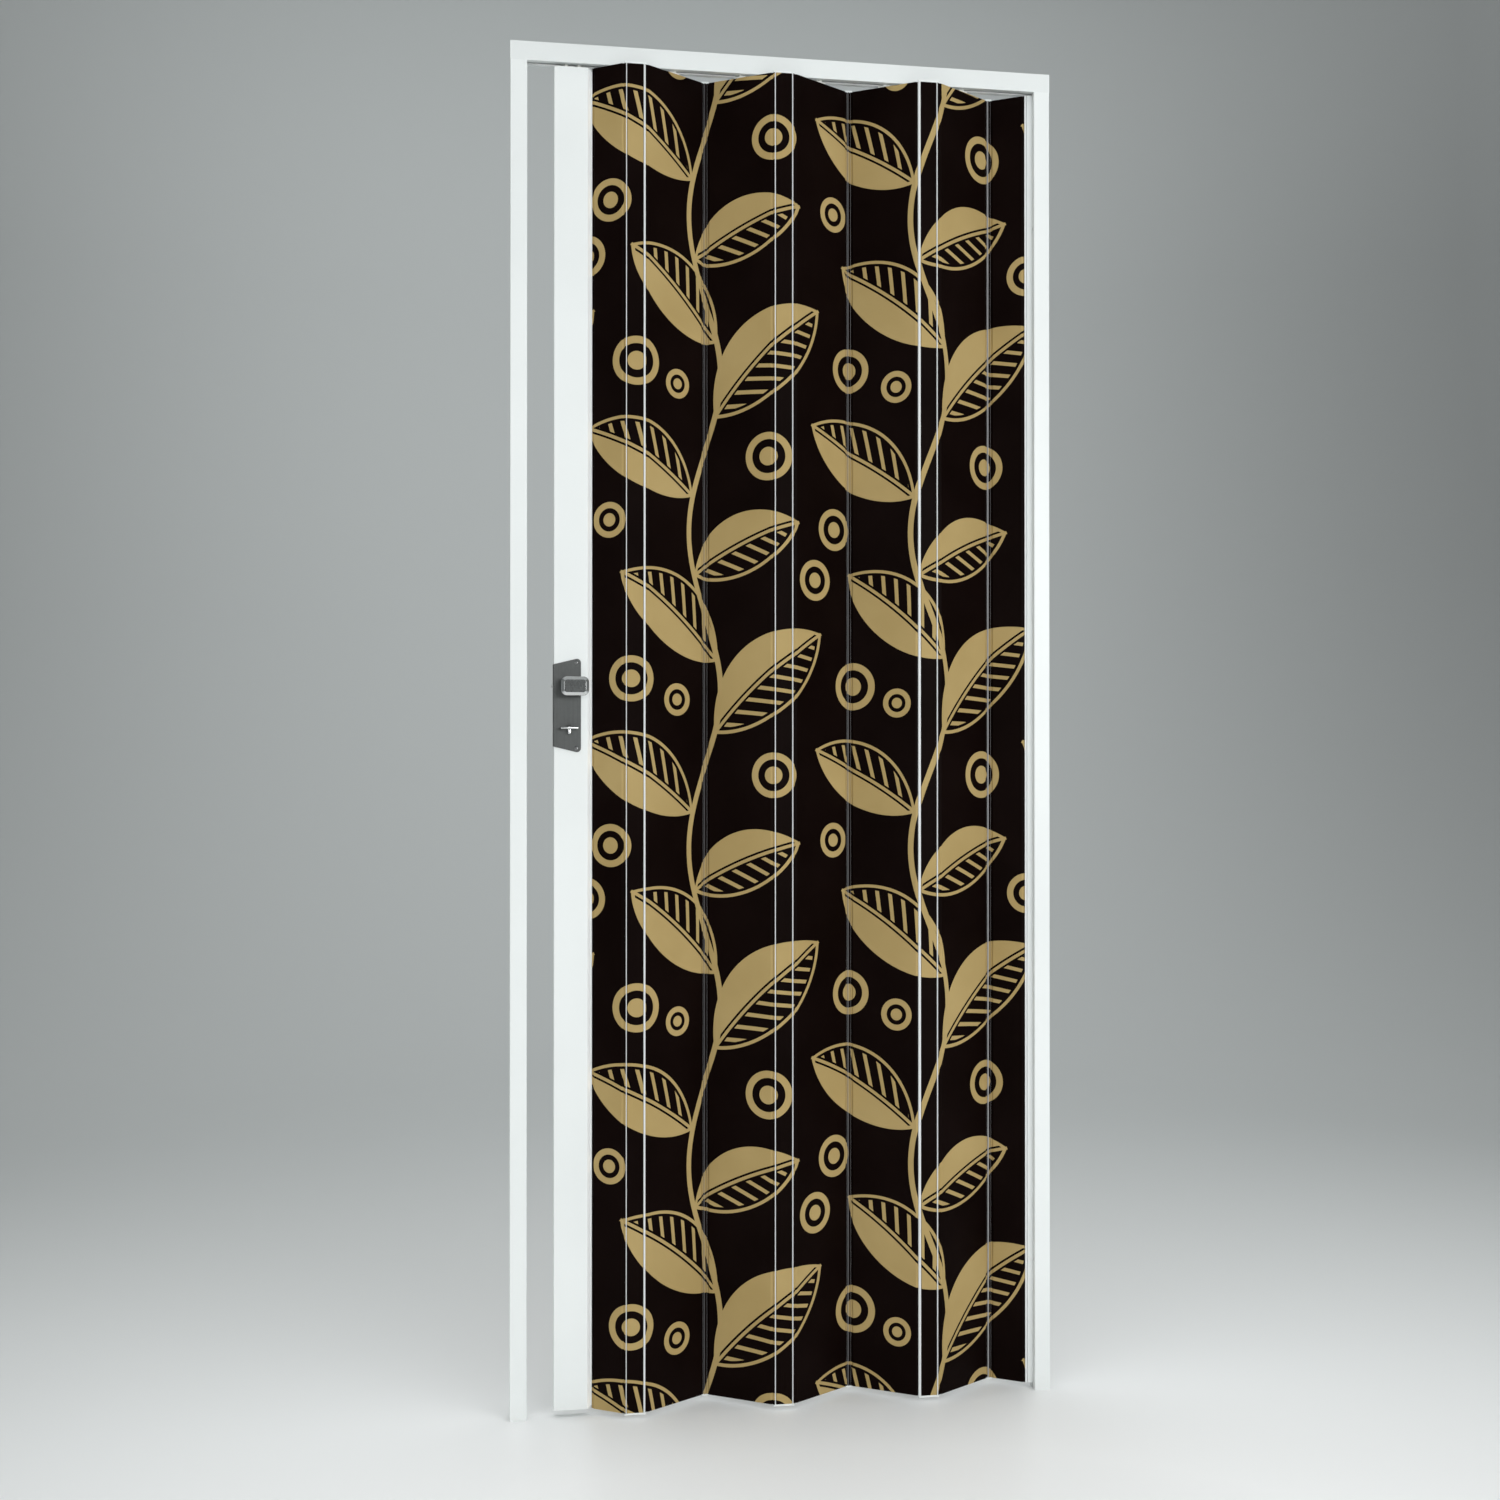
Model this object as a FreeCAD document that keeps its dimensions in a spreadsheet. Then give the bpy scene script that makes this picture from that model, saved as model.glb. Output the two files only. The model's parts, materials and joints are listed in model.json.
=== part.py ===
"""Accordion folding door: a three-sided frame with a top track, a folding chain of hollow slats
joined by bead-and-barrel hinges, and a leading post that carries a knob latch and a turn bolt.

Row frame: +X to the right as seen from the front, +Y to the back, +Z up. The origin is on the floor,
midway between the jambs, under the middle of the track.
"""
import FreeCAD, Part
import math
import os
import re
import Sketcher

doc = FreeCAD.newDocument("FoldingDoor")

# Driving dimensions, in millimetres and degrees
SIZES = (
    ("door_height", 2040, "floor to the top of the head rail"),
    ("frame_depth", 24, "jambs and head rail, front to back"),
    ("jamb_face", 25, "width of a jamb seen from the front"),
    ("jamb_wall", 1.6, "wall of the hollow jambs"),
    ("jamb_round", 1.2, "rounded outer edges of the jambs"),
    ("head_face", 28, "height of the head rail seen from the front"),
    ("head_wall", 1.8, "sides, top and middle web of the head rail"),
    ("lip_thick", 2, "lips that the gliders hang on"),
    ("track_height", 12.4, "clear height of the track above its lips"),
    ("slot_width", 9, "slot between the lips"),
    ("panel_pitch", 111, "full slat, hinge axis to hinge axis"),
    ("ridge_pitch", 28.6, "front strip, hinge axis to hinge axis"),
    ("valley_pitch", 7.2, "back strip, hinge axis to hinge axis"),
    ("rest_fold", 32, "angle between a slat and the track as photographed"),
    ("closing_turn", 6.5, "turn of a slat from rest to the closed door"),
    ("folding_turn", 52, "turn of a slat from rest to the folded stack"),
    ("rest_gap", 39.7, "open gap between the latch jamb and the post"),
    ("wall_offset", 10.5, "hinge axis to the face of the fixed jamb"),
    ("slat_thick", 6, "hollow slat, front to back"),
    ("slat_wall", 0.9, "walls and ribs of the slats and strips"),
    ("slat_floor_gap", 9, "floor to the lower end of the slats"),
    ("slat_head_gap", 3, "upper end of the slats to the head rail"),
    ("shoulder_reach", 5, "hinge axis to the full thickness of a slat"),
    ("neck_half", 1.1, "half thickness of a slat where it meets its barrel"),
    ("bead_radius", 1.2, "hinge bead"),
    ("bead_play", 0.2, "bead to barrel"),
    ("barrel_wall", 0.8, "wall of the hinge barrel"),
    ("web_thick", 0.6, "web that carries a bead"),
    ("edge_gap", 0.4, "barrel to the piece that carries the bead"),
    ("cap_thick", 2.4, "end caps of the strips"),
    ("cap_gap", 0.3, "end caps to the turning slats"),
    ("cap_peg_depth", 12, "pegs of the end caps"),
    ("peg_play", 0.15, "pegs and plugs to the chambers that hold them"),
    ("stem_radius", 3, "glider stem"),
    ("glider_radius", 8, "glider head"),
    ("glider_height", 5, "glider head"),
    ("glider_crown", 1.2, "chamfer of the glider head"),
    ("glide_gap", 0.3, "glider head to the lips"),
    ("collar_thick", 1.4, "glider collar on the end of a slat"),
    ("collar_ledge", 3, "collar beyond the plug at each end"),
    ("plug_depth", 30, "glider plug in the middle chamber"),
    ("key_flange", 1.5, "end plate of a corner key"),
    ("key_reach", 60, "corner key inside the head rail"),
    ("key_plug_depth", 45, "corner key inside a jamb"),
    ("key_play", 0.2, "corner key to the profiles"),
    ("tongue_half", 1.8, "half width of the wall profile's tongue"),
    ("tongue_slot_play", 0.3, "tongue to its slot in the fixed jamb"),
    ("barb_half", 3, "half width of the tongue's barb"),
    ("barb_length", 4, "barb behind the jamb wall"),
    ("wall_foot_half", 3.5, "half width of the wall profile on the jamb"),
    ("fixing_radius", 2.5, "screw holes to the building"),
    ("fixing_side", 6.5, "jamb screw holes off the track's middle"),
    ("fixing_low", 200, "lower jamb screw holes above the floor"),
    ("fixing_high", 1800, "upper jamb screw holes above the floor"),
    ("head_fixing", 220, "head screw holes off the door's middle"),
    ("screw_shank", 1.6, "corner screw shank radius"),
    ("screw_head", 3.2, "corner screw head radius"),
    ("screw_rise", 1.8, "corner screw head height"),
    ("screw_length", 9, "corner screw under its head"),
    ("screw_play", 0.2, "screw shanks to their holes"),
    ("post_width", 55, "leading post seen from the front"),
    ("post_depth", 19, "leading post, front to back"),
    ("post_wall", 1.8, "walls of the leading post"),
    ("post_round", 1, "rounded edges of the leading post"),
    ("post_nose", 5, "bevel beside the post's hinge"),
    ("post_nose_half", 3.2, "half width of the post at its hinge"),
    ("post_floor_gap", 11, "floor to the post's lower cap"),
    ("post_head_gap", 5, "post's upper cap to the head rail"),
    ("post_cap", 2, "end caps of the post"),
    ("post_glider_pitch", 18.6, "between the post's two gliders"),
    ("lock_room", 41, "chamber for the lock"),
    ("lock_height", 1056, "floor to the middle of the lock plates"),
    ("plate_thick", 1.2, "lock plates"),
    ("plate_width", 40, "lock plates"),
    ("plate_round", 6, "rounded corners of the lock plates"),
    ("plate_screw_inset", 7, "plate screws to the rounded side"),
    ("plate_screw_span", 128, "between the two plate screws"),
    ("plate_screw_end", 7, "plate screws to the ends of the plates"),
    ("plate_taper", 9.8, "each end of the plates, lower at the post's free edge"),
    ("sleeve_radius", 2.3, "sleeve nuts through the post"),
    ("case_length", 38.5, "lock case into the post"),
    ("case_depth", 14.8, "lock case, front to back"),
    ("case_height", 108, "lock case"),
    ("case_play", 0.2, "lock case to the post"),
    ("forend_thick", 1, "lock case's edge plate"),
    ("forend_depth", 16, "lock case's edge plate"),
    ("forend_height", 122, "lock case's edge plate"),
    ("knob_lift", 28, "knob's axis above the middle of the lock"),
    ("knob_backset", 30, "post's free edge to the knob's axis"),
    ("knob_length", 41, "knob grip along the door"),
    ("knob_rise", 28, "knob grip height"),
    ("knob_depth", 15, "knob grip, front to back"),
    ("knob_corner", 7, "rounded corners of the grip"),
    ("knob_bevel", 3.2, "bevel round the face of the grip"),
    ("neck_length", 14, "knob neck from the plate"),
    ("neck_radius", 8, "knob neck"),
    ("knob_gap", 0.3, "knob and turn to the lock plates"),
    ("spindle_radius", 4, "knob spindle"),
    ("hub_radius", 7, "latch hub in the case"),
    ("hub_play", 0.2, "hubs and spindles to their bores"),
    ("spindle_engage", 9, "spindles into the knobs and turns"),
    ("latch_radius", 3.5, "latch pin"),
    ("latch_reach", 2.2, "latch pin beyond the edge plate"),
    ("latch_nose", 1.8, "taper of the latch pin's nose"),
    ("latch_length", 15, "latch pin inside the case"),
    ("latch_stroke", 3, "room behind the latch pin"),
    ("turn_drop", 33.5, "turn piece's axis under the middle of the lock"),
    ("turn_backset", 22.6, "post's free edge to the turn piece's axis"),
    ("turn_length", 26.5, "wing of the turn piece"),
    ("turn_wing", 3.2, "thickness of the wing"),
    ("turn_depth", 12, "wing, front to back"),
    ("turn_pointer", 9, "pointer under the wing"),
    ("turn_pointer_width", 5, "pointer under the wing"),
    ("rose_radius", 7, "foot of the turn piece"),
    ("rose_thick", 2, "foot of the turn piece"),
    ("turn_spindle_radius", 2.5, "turn spindle"),
    ("turn_hub_radius", 5, "bolt hub in the case"),
    ("bolt_thick", 8, "dead bolt, front to back"),
    ("bolt_rise", 16, "dead bolt height"),
    ("bolt_length", 16.4, "dead bolt"),
    ("bolt_sink", 0.2, "dead bolt's end inside the edge plate's face"),
    ("bolt_play", 0.3, "dead bolt to its channel and strike hole"),
    ("strike_thick", 1, "strike plate on the latch jamb"),
    ("strike_depth", 16, "strike plate, front to back"),
    ("strike_screw_span", 132, "between the strike plate's screws"),
    ("strike_screw_end", 6, "strike screws to the ends of the strike plate"),
    ("strike_margin", 0.8, "strike holes round the latch and the bolt"),
)
FOLDS = 3
FULL_CHAMBERS = 7
HALF_CHAMBERS = 3
RIDGE_CHAMBERS = 2
VALLEY_CHAMBERS = 0

FRONT = FreeCAD.Vector(0, -1, 0)
BACK = FreeCAD.Vector(0, 1, 0)
RIGHT = FreeCAD.Vector(1, 0, 0)
UP = FreeCAD.Vector(0, 0, 1)

sheet = doc.addObject("Spreadsheet::Sheet", "Sizes")
for row, (word, number, meaning) in enumerate(SIZES, start=1):
    sheet.set(f"A{row}", meaning)
    sheet.set(f"B{row}", str(number))
    sheet.setAlias(f"B{row}", word)
doc.recompute()

# Lengths that follow from the driving dimensions
REACH = "(panel_pitch * cos(rest_fold))"
SWING = "(panel_pitch / 2 * sin(rest_fold))"
CHAIN = f"({2 * FOLDS} * {REACH} + {FOLDS} * ridge_pitch + {FOLDS} * valley_pitch)"
BORE = "(bead_radius + bead_play)"
BARREL = f"({BORE} + barrel_wall)"
EDGE = f"({BARREL} + edge_gap)"
DOOR_WIDTH = f"(2 * jamb_face + rest_gap + post_width + {EDGE} + {CHAIN} + wall_offset)"
HALF_WIDTH = f"({DOOR_WIDTH} / 2)"
ANCHOR = f"({HALF_WIDTH} - jamb_face - wall_offset)"
HEAD_UNDER = "(door_height - head_face)"
TRACK_INNER = "(frame_depth - 2 * head_wall)"
SLAT_TOP = f"({HEAD_UNDER} - slat_head_gap)"
SLAT_LENGTH = f"({SLAT_TOP} - slat_floor_gap)"
POST_EDGE = f"({ANCHOR} - {CHAIN} - {EDGE} - post_width)"
POST_TOP = f"({HEAD_UNDER} - post_head_gap - post_cap)"
POST_BOTTOM = "(post_floor_gap + post_cap)"
PLATE_FACE = "(post_depth / 2 + plate_thick)"
KNOB_X = f"({POST_EDGE} + knob_backset)"
KNOB_Z = "(lock_height + knob_lift)"
TURN_X = f"({POST_EDGE} + turn_backset)"
TURN_Z = "(lock_height - turn_drop)"
PLATE_SCREW_X = f"({POST_EDGE} + plate_width - plate_screw_inset)"
PLATE_SCREWS = tuple(f"(lock_height + {sign} * plate_screw_span / 2)" for sign in (-1, 1))
STRIKE_SCREWS = tuple(f"(lock_height + {sign} * strike_screw_span / 2)" for sign in (-1, 1))
LATCH_FACE = f"(-{HALF_WIDTH} + jamb_face)"
JAMB_MIDDLE = f"({HALF_WIDTH} - jamb_face / 2)"
CORNER_LOW = f"({HEAD_UNDER} - key_plug_depth / 2)"
CORNER_HIGH = f"({HEAD_UNDER} + lip_thick + track_height / 2)"
MOUTH_MARGIN = f"(asin((web_thick / 2 + bead_play) / {BORE}) / 1 deg)"
MOUTH_FROM = f"(180 - rest_fold - folding_turn - {MOUTH_MARGIN})"
MOUTH_TO = f"(180 - rest_fold + closing_turn + {MOUTH_MARGIN})"

SHEET_WORDS = re.compile(r"\b(?!deg\b)[a-z][a-z_]*\b(?!\()")
nodes = []


def bound(text):
    """Formula in the sheet's words, with each word pointed at its cell."""
    return SHEET_WORDS.sub(lambda found: "Sizes." + found.group(0), text)


def value(text):
    """Present value of a formula."""
    return float(sheet.evalExpression(bound(text)))


def bind(thing, path, text):
    """Ties a property to a formula."""
    thing.setExpression(path, bound(text))


def place(thing, x="0", y="0", z="0"):
    """Ties an object's position to three formulas."""
    for axis, text in zip("xyz", (x, y, z)):
        bind(thing, "Placement.Base." + axis, text)


def turn_about_z(thing, text):
    """Ties an object's turn about the vertical to a formula."""
    bind(thing, "Placement.Rotation.Angle", text)


def keep(thing, label):
    """Names a finished sub-part and puts it on the list of nodes."""
    thing.Label = label
    nodes.append(thing)
    return thing


def new_body(name):
    """Empty solid body."""
    return doc.addObject("PartDesign::Body", name)


def new_sketch(body, role, name, lift="0"):
    """Sketch on one of the body's own planes, lifted off it along the normal."""
    sketch = body.newObject("Sketcher::SketchObject", name)
    plane = next(item for item in body.Origin.OriginFeatures if item.Role == role)
    sketch.AttachmentSupport = [(plane, "")]
    sketch.MapMode = "FlatFace"
    bind(sketch, "AttachmentOffset.Base.z", lift)
    return sketch


def hold_point(sketch, geometry, point, spot):
    """Ties a point of a sketch to a pair of formulas."""
    for kind, text in zip(("DistanceX", "DistanceY"), spot):
        index = sketch.addConstraint(Sketcher.Constraint(kind, -1, 1, geometry, point, value(text)))
        bind(sketch, f"Constraints[{index}]", text)


def outline(sketch, corners):
    """Closed run of straight edges through corners given as pairs of formulas."""
    first = sketch.GeometryCount
    spots = [FreeCAD.Vector(value(x), value(y), 0) for x, y in corners]
    count = len(spots)
    for index in range(count):
        sketch.addGeometry(Part.LineSegment(spots[index], spots[(index + 1) % count]))
    for index in range(count):
        following = first + (index + 1) % count
        sketch.addConstraint(Sketcher.Constraint("Coincident", first + index, 2, following, 1))
        hold_point(sketch, first + index, 1, corners[index])


def rectangle(sketch, left, right, low, high):
    """Closed rectangle between four formulas."""
    outline(sketch, ((left, low), (right, low), (right, high), (left, high)))


def circle(sketch, x, y, radius):
    """Circle about a point given as formulas."""
    centre = FreeCAD.Vector(value(x), value(y), 0)
    geometry = sketch.addGeometry(Part.Circle(centre, UP, value(radius)))
    hold_point(sketch, geometry, 3, (x, y))
    index = sketch.addConstraint(Sketcher.Constraint("Radius", geometry, value(radius)))
    bind(sketch, f"Constraints[{index}]", radius)


def pad(body, sketch, length, reverse=False):
    """Extrudes a sketch into the body."""
    feature = body.newObject("PartDesign::Pad", sketch.Name + "_pad")
    feature.Profile = sketch
    feature.Reversed = reverse
    bind(feature, "Length", length)
    body.Tip = feature
    return feature


def pocket(body, sketch, length):
    """Cuts a sketch out of the body along the way its pads grew."""
    feature = body.newObject("PartDesign::Pocket", sketch.Name + "_pocket")
    feature.Profile = sketch
    feature.Reversed = True
    bind(feature, "Length", length)
    body.Tip = feature
    return feature


def lathe(body, corners):
    """Turns an outline of radius and height pairs about the body's own Z axis."""
    sketch = new_sketch(body, "XZ_Plane", body.Name + "_profile")
    outline(sketch, corners)
    feature = body.newObject("PartDesign::Revolution", body.Name + "_turned")
    feature.Profile = sketch
    feature.ReferenceAxis = (sketch, ["V_Axis"])
    feature.Angle = 360
    body.Tip = feature
    return feature


def soften(body, kind, amount, wanted):
    """Rounds or bevels the edges of the tip whose two ends pass a test."""
    doc.recompute()
    base = body.Tip
    names = []
    for index, edge in enumerate(base.Shape.Edges, start=1):
        ends = [vertex.Point for vertex in edge.Vertexes]
        if len(ends) == 2 and wanted(ends[0], ends[1]):
            names.append(f"Edge{index}")
    feature = body.newObject("PartDesign::" + kind, body.Name + "_" + kind.lower())
    feature.Base = (base, names)
    bind(feature, "Radius" if kind == "Fillet" else "Size", amount)
    body.Tip = feature
    return feature


def upright(a, b):
    """True for an edge along the body's own Z axis."""
    return math.hypot(a.x - b.x, a.y - b.y) < abs(a.z - b.z) / 2


def box(name, x, y, z):
    """Block between pairs of formulas along the three axes."""
    block = doc.addObject("Part::Box", name)
    for side, (low, high) in zip(("Length", "Width", "Height"), (x, y, z)):
        bind(block, side, f"({high}) - ({low})")
    place(block, x[0], y[0], z[0])
    return block


def rod(name, radius, length, start, direction):
    """Cylinder from a point given as formulas along a row axis."""
    cylinder = doc.addObject("Part::Cylinder", name)
    cylinder.Placement.Rotation = FreeCAD.Rotation(UP, direction)
    bind(cylinder, "Radius", radius)
    bind(cylinder, "Height", length)
    place(cylinder, *start)
    return cylinder


def fuse(name, shapes):
    """One solid from several."""
    merged = doc.addObject("Part::MultiFuse", name)
    merged.Shapes = shapes
    return merged


def cut(name, base, tools):
    """A base with tools taken out of it."""
    result = doc.addObject("Part::Cut", name)
    result.Base = base
    result.Tool = tools[0] if len(tools) == 1 else fuse(name + "_tools", tools)
    return result


def group(name, shapes):
    """Separate solids of one kind in one node."""
    compound = doc.addObject("Part::Compound", name)
    compound.Links = shapes
    return compound


def screw(name, seat, outward, length, rise="screw_rise"):
    """Screw on its seat, with the head towards outward."""
    body = new_body(name)
    end = f"-({length})"
    lathe(body, (
        ("0", end), ("screw_shank", end), ("screw_shank", "0"), ("screw_head", "0"),
        ("screw_head", rise), ("0", rise),
    ))
    body.Placement.Rotation = FreeCAD.Rotation(UP, outward)
    place(body, *seat)
    return body


def both_sides(side, near, far):
    """Pair of X formulas on the right side, or mirrored to the left."""
    return (near, far) if side > 0 else (f"-({far})", f"-({near})")


def along(half_slats, valleys, ridges):
    """Place on X after so many half slats and strips, counted from the fixed hinge."""
    return f"({ANCHOR} - {half_slats} * {REACH} / 2 - {valleys} * valley_pitch - {ridges} * ridge_pitch)"


def make_jamb(label, side):
    """Hollow jamb standing on the floor, with its screw holes and its side's own cut-outs."""
    body = new_body(label + "_profile")
    sketch = new_sketch(body, "XY_Plane", label + "_section")
    rectangle(sketch, "-jamb_face / 2", "jamb_face / 2", "-frame_depth / 2", "frame_depth / 2")
    inner = ("jamb_face / 2 - jamb_wall", "frame_depth / 2 - jamb_wall")
    rectangle(sketch, f"-({inner[0]})", inner[0], f"-({inner[1]})", inner[1])
    pad(body, sketch, HEAD_UNDER)
    soften(body, "Fillet", "jamb_round", lambda a, b: upright(a, b) and abs(a.x) > value(inner[0]))
    place(body, f"{side} * {JAMB_MIDDLE}")
    span = both_sides(side, f"{HALF_WIDTH} - jamb_face", HALF_WIDTH)
    tools = []
    for height in ("fixing_low", "fixing_high"):
        for depth in ("-fixing_side", "fixing_side"):
            start = (span[0], depth, height)
            tools.append(rod(label + "_fixing", "fixing_radius", "jamb_face", start, RIGHT))
    corner = (f"{side} * {JAMB_MIDDLE}", "frame_depth / 2 - 2 * jamb_wall", CORNER_LOW)
    tools.append(rod(label + "_corner_hole", "screw_shank + screw_play", "3 * jamb_wall", corner, BACK))
    if side > 0:
        slot = "tongue_half + tongue_slot_play"
        wall = (f"{HALF_WIDTH} - jamb_face - jamb_wall", f"{HALF_WIDTH} - jamb_face + jamb_wall")
        tools.append(box("tongue_slot", wall, (f"-({slot})", slot), ("0", HEAD_UNDER)))
    else:
        inside = f"({LATCH_FACE} - jamb_wall)"
        tools += strike_holes("jamb", inside, "2 * jamb_wall")
        for height in STRIKE_SCREWS:
            start = (inside, "0", height)
            tools.append(rod("strike_pilot", "screw_shank + screw_play", "2 * jamb_wall", start, RIGHT))
    return keep(cut(label, body, tools), label)


def strike_holes(name, start, length):
    """Holes that take the latch pin and the dead bolt, cut along X from start."""
    radius = "latch_radius + strike_margin"
    latch = rod(name + "_latch_hole", radius, length, (start, "0", KNOB_Z), RIGHT)
    half_thick = "(bolt_thick / 2 + strike_margin)"
    half_rise = "(bolt_rise / 2 + strike_margin)"
    span = (start, f"{start} + {length}")
    height = (f"{TURN_Z} - {half_rise}", f"{TURN_Z} + {half_rise}")
    return [latch, box(name + "_bolt_hole", span, (f"-{half_thick}", half_thick), height)]


def make_head_rail():
    """Head rail: a track with a slot below, and a closed chamber above it."""
    body = new_body("head_profile")
    sketch = new_sketch(body, "YZ_Plane", "head_section")
    depth, slot, inner = "frame_depth / 2", "slot_width / 2", f"{TRACK_INNER} / 2"
    ceiling = "(lip_thick + track_height)"
    outline(sketch, (
        (f"-{depth}", "0"), (f"-{slot}", "0"), (f"-{slot}", "lip_thick"), (f"-{inner}", "lip_thick"),
        (f"-{inner}", ceiling), (inner, ceiling), (inner, "lip_thick"), (slot, "lip_thick"), (slot, "0"),
        (depth, "0"), (depth, "head_face"), (f"-{depth}", "head_face"),
    ))
    rectangle(sketch, f"-{inner}", inner, f"{ceiling} + head_wall", "head_face - head_wall")
    pad(body, sketch, f"{DOOR_WIDTH} - 2 * key_flange")
    place(body, f"-{HALF_WIDTH} + key_flange", "0", HEAD_UNDER)
    tools = []
    for side in (-1, 1):
        start = (f"{side} * head_fixing", "0", f"{HEAD_UNDER} + {ceiling} - head_wall")
        tools.append(rod("head_fixing_hole", "fixing_radius", "head_face", start, UP))
        corner = (f"{side} * {JAMB_MIDDLE}", "frame_depth / 2 - 2 * head_wall", CORNER_HIGH)
        tools.append(rod("head_corner_hole", "screw_shank + screw_play", "3 * head_wall", corner, BACK))
    return keep(cut("head_rail", body, tools), "head_rail")


def make_corner_keys():
    """Moulded keys that join the head rail to the jambs, close its ends and stop the gliders."""
    keys, screws = [], []
    for side in (-1, 1):
        end = f"{HALF_WIDTH} - key_flange"
        inside = f"({TRACK_INNER} / 2 - key_play)"
        neck = "(slot_width / 2 - key_play)"
        start = f"{HALF_WIDTH} - jamb_face + jamb_wall + key_play"
        stop = both_sides(side, start, end)
        plug = both_sides(side, start, f"{HALF_WIDTH} - jamb_wall - key_play")
        plug_half = "(frame_depth / 2 - jamb_wall - key_play)"
        plug_base = f"{HEAD_UNDER} - key_plug_depth"
        lips = f"{HEAD_UNDER} + lip_thick + key_play"
        ceiling = f"{HEAD_UNDER} + lip_thick + track_height"
        neck_z = (f"{HEAD_UNDER} - 2 * key_play", f"{lips} + key_play")
        blocks = [
            box("key_end", both_sides(side, end, HALF_WIDTH), ("-frame_depth / 2", "frame_depth / 2"),
                (HEAD_UNDER, "door_height")),
            box("key_arm", both_sides(side, f"{HALF_WIDTH} - key_reach", end), (f"-{inside}", inside),
                (f"{ceiling} + head_wall + key_play", "door_height - head_wall - key_play")),
            box("key_stop", stop, (f"-{inside}", inside), (lips, f"{ceiling} - key_play")),
            box("key_neck", plug, (f"-{neck}", neck), neck_z),
            box("key_plug", plug, (f"-{plug_half}", plug_half), (plug_base, f"{HEAD_UNDER} - key_play")),
        ]
        barb = f"{HALF_WIDTH} - jamb_face + jamb_wall + peg_play + barb_length + key_play"
        barb_half = "(barb_half + key_play)"
        groove = both_sides(side, f"{HALF_WIDTH} - jamb_face", barb)
        pilots = [box("key_groove", groove, (f"-{barb_half}", barb_half), (plug_base, SLAT_TOP))]
        middle = f"{side} * {JAMB_MIDDLE}"
        for height in (CORNER_LOW, CORNER_HIGH):
            start = (middle, "frame_depth / 2 - screw_length - key_play", height)
            pilot = rod("key_pilot", "screw_shank + screw_play / 2", "screw_length + key_play", start, BACK)
            pilots.append(pilot)
            screws.append(screw("corner_screw", (middle, "frame_depth / 2", height), BACK, "screw_length"))
        keys.append(cut("corner_key", fuse("key_blank", blocks), pilots))
    keep(group("corner_keys", keys), "corner_keys")
    keep(group("corner_screws", screws), "corner_screws")


def add_bead(body, name, side, edge, axis, length, overlap):
    """Hinge bead on its thin web, standing off a profile's right (1) or left (-1) edge."""
    web = new_sketch(body, "XY_Plane", name + "_web")
    root = f"{edge} - {side} * {overlap}"
    left, right = (root, axis) if side > 0 else (axis, root)
    rectangle(web, left, right, "-web_thick / 2", "web_thick / 2")
    pad(body, web, length)
    bead = new_sketch(body, "XY_Plane", name + "_bead")
    circle(bead, axis, "0", "bead_radius")
    pad(body, bead, length)


def make_wall_profile():
    """Profile clipped into the fixed jamb, with the bead that the first slat turns on."""
    body = new_body("wall_profile")
    sketch = new_sketch(body, "XY_Plane", "wall_section")
    inside = "wall_offset + jamb_wall + peg_play"
    half = (
        (EDGE, BARREL), ("wall_offset - web_thick", "wall_foot_half"), ("wall_offset", "wall_foot_half"),
        ("wall_offset", "tongue_half"), (inside, "tongue_half"), (inside, "barb_half"),
        (f"{inside} + barb_length", "tongue_half / 2"),
    )
    outline(sketch, half + tuple((x, f"-{y}") for x, y in reversed(half)))
    pad(body, sketch, SLAT_LENGTH)
    add_bead(body, "wall", -1, EDGE, "0", SLAT_LENGTH, "slat_wall / 2")
    place(body, ANCHOR, "0", "slat_floor_gap")
    return keep(body, "wall_profile")


def make_slat(label, pitch, chambers, fold, x, y):
    """Hollow slat with a hinge barrel along each edge; fold is the way its right edge turns."""
    body = new_body(label)
    section = new_sketch(body, "XY_Plane", label + "_section")
    neck = f"({pitch} / 2 - {BORE} - barrel_wall / 2)"
    full = f"({pitch} / 2 - shoulder_reach)"
    half_thick = "slat_thick / 2"
    upper = ((neck, "neck_half"), (full, half_thick), (f"-{full}", half_thick), (f"-{neck}", "neck_half"))
    outline(section, upper + tuple((across, f"-{deep}") for across, deep in reversed(upper)))
    room = f"((2 * {full} - slat_wall) / {chambers})"
    for index in range(chambers):
        left = f"-{full} + slat_wall + {index} * {room}"
        right = f"-{full} + {index + 1} * {room}"
        rectangle(section, left, right, "-slat_thick / 2 + slat_wall", "slat_thick / 2 - slat_wall")
    pad(body, section, SLAT_LENGTH)
    barrels = new_sketch(body, "XY_Plane", label + "_barrels")
    bores = new_sketch(body, "XY_Plane", label + "_bores")
    mouths = new_sketch(body, "XY_Plane", label + "_mouths")
    for end in (-1, 1):
        axis = f"{end} * {pitch} / 2"
        circle(barrels, axis, "0", BARREL)
        circle(bores, axis, "0", BORE)
        corners = [(axis, "0")]
        for angle in (MOUTH_FROM, f"(({MOUTH_FROM} + {MOUTH_TO}) / 2)", MOUTH_TO):
            far = f"2 * {BARREL}"
            across = f"{axis} - {end} * {far} * cos({angle})"
            corners.append((across, f"{-end * fold} * {far} * sin({angle})"))
        outline(mouths, corners)
    pad(body, barrels, SLAT_LENGTH)
    pocket(body, bores, SLAT_LENGTH)
    pocket(body, mouths, SLAT_LENGTH)
    place(body, x, y, "slat_floor_gap")
    turn_about_z(body, f"{fold} * rest_fold")
    return keep(body, label)


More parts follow.
